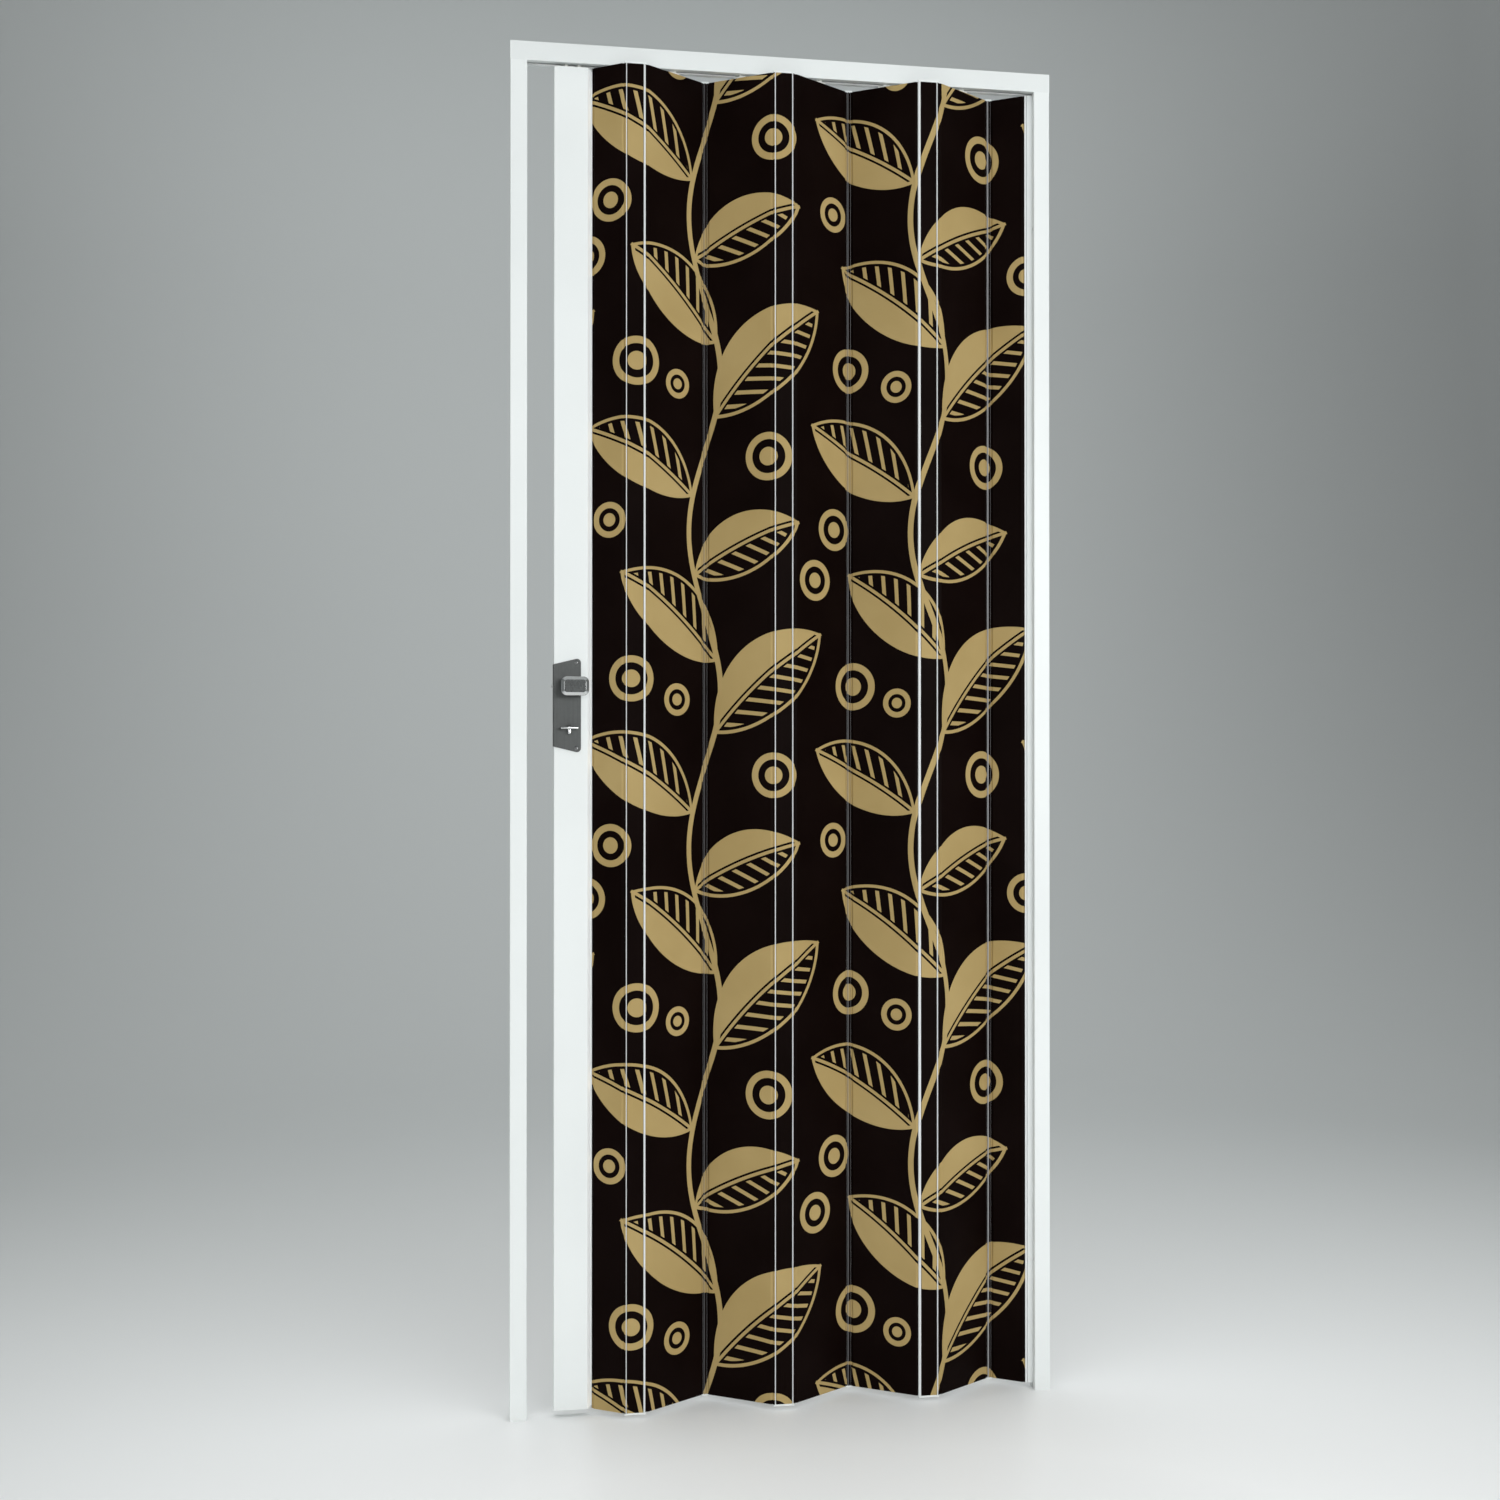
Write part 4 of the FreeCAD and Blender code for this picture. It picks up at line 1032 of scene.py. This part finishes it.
def place_mesh(name: str, draft: bmesh.types.BMesh, materials: Sequence[Material]) -> Object:
    """Puts a draft into the scene as a smooth mesh.

    Args:
        name: Name of the mesh and its object.
        draft: The draft, which is used up.
        materials: Materials of the mesh.

    Returns:
        The object.
    """
    for face in draft.faces:
        face.smooth = True
    mesh = bpy.data.meshes.new(name)
    draft.to_mesh(mesh)
    draft.free()
    for material in materials:
        mesh.materials.append(material)
    return place_object(name, mesh)


class Face(Enum):
    """Face of the post that a lock piece stands on; the value is its way along Y."""

    FRONT = -1.0
    REAR = 1.0


def rounded(width: float, rise: float, corner: float, inset: float, out: float, lift: float = 0.0,
            steps: int = 10) -> list[Spot]:
    """Ring of a rectangle with round corners.

    Args:
        width: Width across.
        rise: Height.
        corner: Radius of the corners.
        inset: Distance that the ring is drawn in all round.
        out: Distance out from the lock plate.
        lift: Height of the middle above the axis.
        steps: Spans in each corner.

    Returns:
        The ring's spots across, up and out.
    """
    radius = max(corner - inset, LEAST_CORNER)
    ring = []
    for quarter, (side, up) in enumerate(((1, 1), (-1, 1), (-1, -1), (1, -1))):
        middle = (side * (width / 2 - inset - radius), lift + up * (rise / 2 - inset - radius))
        for step in range(steps + 1):
            turn = math.pi / 2 * (quarter + step / steps)
            ring.append((middle[0] + radius * math.cos(turn), middle[1] + radius * math.sin(turn), out))
    return ring


def circle(radius: float, out: float, steps: int = 48) -> list[Spot]:
    """Round ring at a distance out from the lock plate."""
    turns = (math.tau * step / steps for step in range(steps))
    return [(radius * math.cos(turn), radius * math.sin(turn), out) for turn in turns]


class LockPiece:
    """Mesh of a piece on the lock, made of stacks of rings, that stands for a CAD node."""

    def __init__(self, node: str, face: Face, axis: tuple[float, float]) -> None:
        """Starts an empty piece.

        Args:
            node: CAD node that the piece stands for.
            face: Face of the post that it is on.
            axis: Place of its axis along X and Z.
        """
        low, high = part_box(f"{face.name.lower()}_lock_plate")
        self.node, self.face, self.axis = node, face, axis
        self.base = low.y if face is Face.FRONT else high.y
        self.draft = bmesh.new()

    def stack(self, rings: Sequence[Sequence[Spot]], finishes: Sequence[int]) -> None:
        """Adds a closed solid.

        Args:
            rings: Rings of equal counts, from the plate outwards.
            finishes: Finish of each band between two rings, then of the outer end.
        """
        loops = []
        for ring in rings:
            spots = [(self.axis[0] + x, self.base + self.face.value * out, self.axis[1] + z)
                     for x, z, out in ring]
            loops.append([self.draft.verts.new(spot) for spot in spots])
        count = len(loops[0])
        for inner, outer, finish in zip(loops, loops[1:], finishes):
            for index in range(count):
                after = (index + 1) % count
                band = self.draft.faces.new((inner[index], inner[after], outer[after], outer[index]))
                band.material_index = finish
        for loop, finish in ((loops[0], finishes[0]), (loops[-1], finishes[-1])):
            self.draft.faces.new(loop).material_index = finish

    def finish(self, body: str, slot: str, materials: Sequence[Material]) -> Object:
        """Makes the piece an object that rides on a body.

        Args:
            body: The body.
            slot: The record's material slot; not used.
            materials: Finishes of the piece.

        Returns:
            The object.
        """
        bmesh.ops.recalc_face_normals(self.draft, faces=self.draft.faces)
        made = place_mesh(self.node + "_fine", self.draft, materials)
        return settle(made, body, self.node)


def settle(made: Object, body: str, node: str) -> Object:
    """Puts a piece on its body in place of a CAD node.

    Args:
        made: The piece.
        body: The body that it rides on.
        node: The CAD node.

    Returns:
        The piece.
    """
    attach(made, body)
    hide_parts(node)
    LOG.info("made %s for %s on %s", made.name, node, body)
    return made


@dataclass
class Knob:
    """Knob with a bright bevel round its dark face, on a waisted neck."""

    finishes: Finishes
    face: Face
    length: float = 0.041
    rise: float = 0.028
    corner: float = 0.0086
    neck: float = 0.014
    depth: float = 0.015
    bevel: float = 0.0036
    bevel_inset: float = 0.0046
    bevel_shares: tuple[float, ...] = (0.05, 0.14, 0.955, 0.985)
    back_round: Profile = ((0.0022, 0.0), (0.0007, 0.0003), (0.0, 0.0012))
    rim_drop: float = 0.0003
    face_insets: tuple[float, ...] = (0.0001, 0.0004)
    neck_steps: Profile = ((0.0079, 0.0003), (0.0079, 0.0014), (0.0074, 0.002), (0.0064, 0.0034),
                           (0.006, 0.007), (0.0062, 0.0115))
    neck_top: float = 0.0072
    neck_sink: float = 0.0006

    def build(self) -> Object:
        """Builds the grip and the neck.

        Returns:
            The knob.
        """
        node = f"{self.face.name.lower()}_knob"
        low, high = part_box(node)
        piece = LockPiece(node, self.face, ((low.x + high.x) / 2, (low.z + high.z) / 2))
        outer = self.neck + self.depth
        back = [(inset, self.neck + out) for inset, out in self.back_round]
        slope = [(share * self.bevel_inset, outer - (1 - share) * self.bevel) for share in self.bevel_shares]
        flat = [(self.bevel_inset + inset, outer) for inset in self.face_insets]
        steps = (*back, (0.0, outer - self.bevel - self.rim_drop), *slope, *flat)
        rings = [rounded(self.length, self.rise, self.corner, inset, out) for inset, out in steps]
        dark, bright = 0, 1
        piece.stack(rings, (bright,) * (len(steps) - len(flat)) + (dark,) * len(flat))
        neck = (*self.neck_steps, (self.neck_top, self.neck + self.neck_sink))
        piece.stack([circle(radius, out) for radius, out in neck], (dark,) * len(neck))
        return piece.finish("knob", "knob_metal", (self.finishes.knob, self.finishes.bevel))


@dataclass
class TurnPiece:
    """Thin wing with a pointer under it, on a small foot."""

    finishes: Finishes
    face: Face
    length: float = 0.0265
    thick: float = 0.003
    reach: float = 0.0143
    pointer: float = 0.0078
    pointer_width: float = 0.0048
    pointer_reach: float = 0.0083
    pointer_corner: float = 0.0014
    pointer_drop: float = 0.001
    foot: float = 0.0046
    rose: float = 0.007
    root: float = 0.0003
    foot_rise: float = 0.0014
    foot_top: float = 0.002
    foot_inset: float = 0.0006
    edge_play: float = 0.0001
    edge_round: Profile = ((0.0, 0.0009), (0.0003, 0.0002))
    wing_tip: float = 0.0009
    pointer_tip: float = 0.001
    steps: int = 6

    def blade(self, reach: float, tip: float) -> Profile:
        """Insets and distances out of a piece whose outer edge is rounded over the inset of its tip."""
        edge = ((inset, reach - drop) for inset, drop in self.edge_round)
        return (0.0, self.root), *edge, (tip, reach)

    def build(self) -> Object:
        """Builds the foot, the wing and the pointer.

        Returns:
            The turn piece.
        """
        node = f"{self.face.name.lower()}_turn"
        low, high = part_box(node)
        piece = LockPiece(node, self.face, ((low.x + high.x) / 2, high.z - self.rose))
        chrome, dark, bright = 0, 1, 2
        foot = ((self.foot, self.root), (self.foot, self.foot_rise),
                (self.foot - self.foot_inset, self.foot_top))
        piece.stack([circle(radius, out) for radius, out in foot], (dark,) * len(foot))
        edge = self.thick / 2 - self.edge_play
        wing = [rounded(self.length, self.thick, edge, inset, out, steps=self.steps)
                for inset, out in self.blade(self.reach, self.wing_tip)]
        piece.stack(wing, (bright,) * len(wing))
        lift = -self.pointer / 2 - self.pointer_drop
        stub = [rounded(self.pointer_width, self.pointer, self.pointer_corner, inset, out, lift, self.steps)
                for inset, out in self.blade(self.pointer_reach, self.pointer_tip)]
        piece.stack(stub, (chrome,) * len(stub))
        metals = (self.finishes.chrome, self.finishes.plate, self.finishes.bevel)
        return piece.finish("turn", "lock_steel", metals)


@dataclass
class ScrewSet:
    """Cross-recessed screws of one CAD node."""

    node: str
    body: str
    axis: tuple[int, int, int]
    material: Material
    rise: float = 0.0018
    low_rise: float = 0.0012
    head: float = 0.0032
    shank: float = 0.0016
    recess: float = 0.0036
    recess_width: float = 0.0008
    segments: int = 40
    rings: int = 28
    shank_sides: int = 24
    sharp_angle: float = 32.0
    seed: int = 7

    def seats(self) -> tuple[list[Vector], float]:
        """Finds the screws from the CAD node's box.

        Returns:
            Their seats and the length of their shanks.
        """
        low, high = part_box(self.node)
        way = next(index for index in range(3) if self.axis[index])
        spans = []
        for index in range(3):
            if index == way:
                end = high[index] if self.axis[index] > 0 else low[index]
                spans.append({end - self.axis[index] * self.rise})
            else:
                spans.append({round(low[index] + self.head, 5), round(high[index] - self.head, 5)})
        spots = [Vector(spot) for spot in product(*(sorted(span) for span in spans))]
        return spots, (high - low)[way] - self.rise

    def tree(self) -> GroupDraft:
        """Sets a domed screw with a cross recess on each point.

        Returns:
            The tree.
        """
        numbers = ("Head radius", "Head rise", "Shank radius", "Shank length", "Recess length",
                   "Recess width")
        kinds = {"Points": SOCKETS["GEOMETRY"], **dict.fromkeys(numbers, SOCKETS["VALUE"]),
                 "Axis": "NodeSocketVector", "Seed": "NodeSocketInt", "Finish": "NodeSocketMaterial"}
        graph = GroupDraft(Tree.SHAPE, "screws_" + self.node, kinds)
        given = graph.inputs
        ball = graph.add("GeometryNodeMeshUVSphere", {"Segments": self.segments, "Rings": self.rings,
                                                      "Radius": 1.0})
        size = graph.vector(given["Head radius"], given["Head radius"], given["Head rise"])
        ball = graph.add("GeometryNodeTransform", {"Geometry": ball, "Scale": size})
        x, y, z = graph.split(graph.add("GeometryNodeInputPosition", {}))
        flat = graph.vector(x, y, z.math("MAXIMUM", 0.0))
        dome = graph.add("GeometryNodeSetPosition", {"Geometry": ball, "Position": flat})
        long, narrow, deep = given["Recess length"], given["Recess width"], given["Head rise"]
        above = graph.vector(0.0, 0.0, given["Head rise"])
        bars = []
        for width, length in ((long, narrow), (narrow, long)):
            bar = graph.add("GeometryNodeMeshCube", {"Size": graph.vector(width, length, deep)})
            bars.append(graph.add("GeometryNodeTransform", {"Geometry": bar, "Translation": above}))
        meshes = {"Mesh 1": dome, "Mesh 2": bars}
        head = graph.add("GeometryNodeMeshBoolean", meshes, operation="DIFFERENCE")
        rod = graph.add("GeometryNodeMeshCylinder", {"Vertices": self.shank_sides,
                                                     "Radius": given["Shank radius"],
                                                     "Depth": given["Shank length"]})
        down = graph.vector(0.0, 0.0, given["Shank length"] * -0.5)
        rod = graph.add("GeometryNodeTransform", {"Geometry": rod, "Translation": down})
        whole = graph.add("GeometryNodeJoinGeometry", {"Geometry": [head, rod]})
        upright = graph.add("FunctionNodeAlignRotationToVector", {"Vector": given["Axis"]}, axis="Z")
        limits = {"Min": 0.0, "Max": math.tau, "Seed": given["Seed"]}
        angle = graph.add("FunctionNodeRandomValue", limits, data_type="FLOAT")
        spin = graph.add("FunctionNodeAxisAngleToRotation", {"Axis": (0.0, 0.0, 1.0), "Angle": angle})
        turns = {"Rotation": upright, "Rotate By": spin}
        turn = graph.add("FunctionNodeRotateRotation", turns, rotation_space="LOCAL")
        copies = graph.add("GeometryNodeInstanceOnPoints", {"Points": given["Points"], "Instance": whole,
                                                            "Rotation": turn})
        plain = graph.add("GeometryNodeRealizeInstances", {"Geometry": copies})
        dressed = graph.add("GeometryNodeSetMaterial", {"Geometry": plain, "Material": given["Finish"]})
        graph.close(geometry=dressed)
        return graph

    def build(self) -> Object:
        """Builds the screws as one plain mesh.

        Returns:
            The screws.
        """
        spots, length = self.seats()
        graph = self.tree()
        mesh = bpy.data.meshes.new(self.node + "_points")
        mesh.from_pydata(spots, [], [])
        made = place_object(self.node + "_fine", mesh)
        modifier = made.modifiers.new("screws", "NODES")
        modifier.node_group = graph.tree
        values = {"Head radius": self.head, "Head rise": self.low_rise, "Shank radius": self.shank,
                  "Shank length": length, "Recess length": self.recess, "Recess width": self.recess_width,
                  "Axis": tuple(float(part) for part in self.axis), "Seed": self.seed,
                  "Finish": self.material}
        for word, setting in values.items():
            modifier[graph.identifier(word)] = setting
        evaluated = made.evaluated_get(bpy.context.evaluated_depsgraph_get())
        plain = bpy.data.meshes.new_from_object(evaluated)
        made.modifiers.clear()
        made.data = plain
        plain.shade_smooth()
        plain.set_sharp_from_angle(angle=math.radians(self.sharp_angle))
        return settle(made, self.body, self.node)


@dataclass
class LeadingPost:
    """Post with its caps, gliders and lock."""

    finishes: Finishes
    bevel_reach: float = 0.0088

    def build(self) -> None:
        """Builds the knobs, the turn pieces and the screws of the lock."""
        for face in Face:
            Knob(self.finishes, face).build()
            TurnPiece(self.finishes, face).build()
        ScrewSet("plate_screws", "post", (0, -1, 0), self.finishes.screw).build()
        ScrewSet("plate_sleeves", "post", (0, 1, 0), self.finishes.screw, shank=0.0023, seed=11).build()

    def dress(self) -> None:
        """Dresses the pieces of the post and the lock."""
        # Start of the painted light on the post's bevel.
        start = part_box("lead_post")[1].x - self.bevel_reach
        dress_nodes(PostPlastic("white_post", bevel_from=start).material(), "lead_post")
        dress_nodes(self.finishes.moulded, "post_caps")
        dress_nodes(self.finishes.nylon, "post_gliders")
        dress_nodes(self.finishes.plate, "lock_case", "front_lock_plate", "rear_lock_plate")
        dress_nodes(self.finishes.steel, "knob_spindle", "turn_spindle")
        dress_nodes(self.finishes.satin, "latch_pin", "dead_bolt")


@dataclass
class Stage:
    """Round studio floor that curves up into a wall."""

    flat: float = 2.6
    cove: float = 3.2
    height: float = 6.0
    steps: int = 24
    sides: int = 96

    def profile(self) -> list[tuple[float, float]]:
        """Works out the section of the sheet.

        Returns:
            Radii and heights from the inner ring of the floor to the top of the wall.
        """
        points = [(self.flat / 2, 0.0), (self.flat, 0.0)]
        for step in range(1, self.steps + 1):
            turn = math.pi / 2 * step / self.steps
            points.append((self.flat + self.cove * math.sin(turn), self.cove * (1 - math.cos(turn))))
        points.append((self.flat + self.cove, self.height))
        return points

    def build(self) -> Object:
        """Builds the floor and wall as one smooth sheet.

        Returns:
            The sheet.
        """
        sheet = bmesh.new()
        rings = []
        for radius, height in self.profile():
            ring = []
            for side in range(self.sides):
                turn = math.tau * side / self.sides
                ring.append(sheet.verts.new((radius * math.cos(turn), radius * math.sin(turn), height)))
            rings.append(ring)
        sheet.faces.new(rings[0])
        for inner, outer in zip(rings, rings[1:]):
            for side in range(self.sides):
                after = (side + 1) % self.sides
                sheet.faces.new((inner[side], outer[side], outer[after], inner[after]))
        made = place_mesh("studio_sheet", sheet, [StudioPaper("studio_paper").material()])
        return made


@dataclass
class SoftBox:
    """Rectangular soft light aimed at a point, with a spread in degrees; metal shows it if it is mirrored."""

    name: str
    place: Spot
    aim: Spot
    width: float
    height: float
    power: float
    spread: float = 180.0
    mirrored: bool = True

    def build(self) -> None:
        """Builds the light."""
        light = bpy.data.lights.new(self.name, "AREA")
        light.shape = "RECTANGLE"
        light.size, light.size_y = self.width, self.height
        light.energy, light.spread = self.power, math.radians(self.spread)
        made = place_object(self.name, light)
        made.visible_glossy = self.mirrored
        made.location = self.place
        way = Vector(self.aim) - Vector(self.place)
        made.rotation_euler = way.to_track_quat("-Z", "Y").to_euler()


@dataclass
class Studio:
    """Lights and surrounding glow."""

    glow: Colour = (0.93, 0.97, 0.965)
    glow_strength: float = 0.5
    boxes: tuple[SoftBox, ...] = (
        SoftBox("overhead_box", (0.0, 0.0, 5.3), (0.0, 0.0, 0.0), 8.0, 7.4, 240.0, mirrored=False),
        SoftBox("front_right_box", (2.4, -4.2, 0.95), (0.0, 0.0, 0.85), 4.6, 3.0, 113.0, 120.0),
        SoftBox("front_left_box", (-3.0, -3.9, 0.9), (0.0, 0.0, 0.85), 3.6, 2.8, 36.0, 120.0),
        SoftBox("front_low_box", (0.3, -3.0, 0.45), (0.0, 0.0, 0.55), 3.6, 0.7, 4.9, 120.0,
                mirrored=False))

    def build(self) -> None:
        """Builds the lights and the glow."""
        for box in self.boxes:
            box.build()
        world = bpy.data.worlds.new("studio_glow")
        world.use_nodes = True
        background = world.node_tree.nodes["Background"]
        background.inputs["Color"].default_value = rgba(self.glow)
        background.inputs["Strength"].default_value = self.glow_strength
        bpy.context.scene.world = world
        bpy.context.scene.view_settings.view_transform = "Standard"


@dataclass
class PhotoCamera:
    """Camera at the photograph's viewing angle."""

    place: Spot = (-0.4646, -2.573, 0.9782)
    yaw: float = -9.064
    pitch: float = 0.261
    lens: float = 41.25
    sensor: float = 36.0

    def build(self) -> None:
        """Builds the camera and makes it the scene's own."""
        camera = bpy.data.cameras.new("photo_camera")
        camera.lens, camera.sensor_width = self.lens, self.sensor
        made = place_object("photo_camera", camera)
        made.location = self.place
        made.rotation_euler = (math.radians(90 + self.pitch), 0.0, math.radians(self.yaw))
        bpy.context.scene.camera = made


def main() -> None:
    """Builds the studio, dresses the door and places the camera."""
    logging.basicConfig(level=logging.INFO, format="%(name)s: %(message)s")
    Stage().build()
    Studio().build()
    PhotoCamera().build()
    finishes = Finishes()
    surround, chain, post = FrameSet(finishes), FoldingChain(finishes), LeadingPost(finishes)
    for section in (surround, chain, post):
        section.dress()
    for section in (surround, post):
        section.build()


if __name__ == "__main__":
    main()
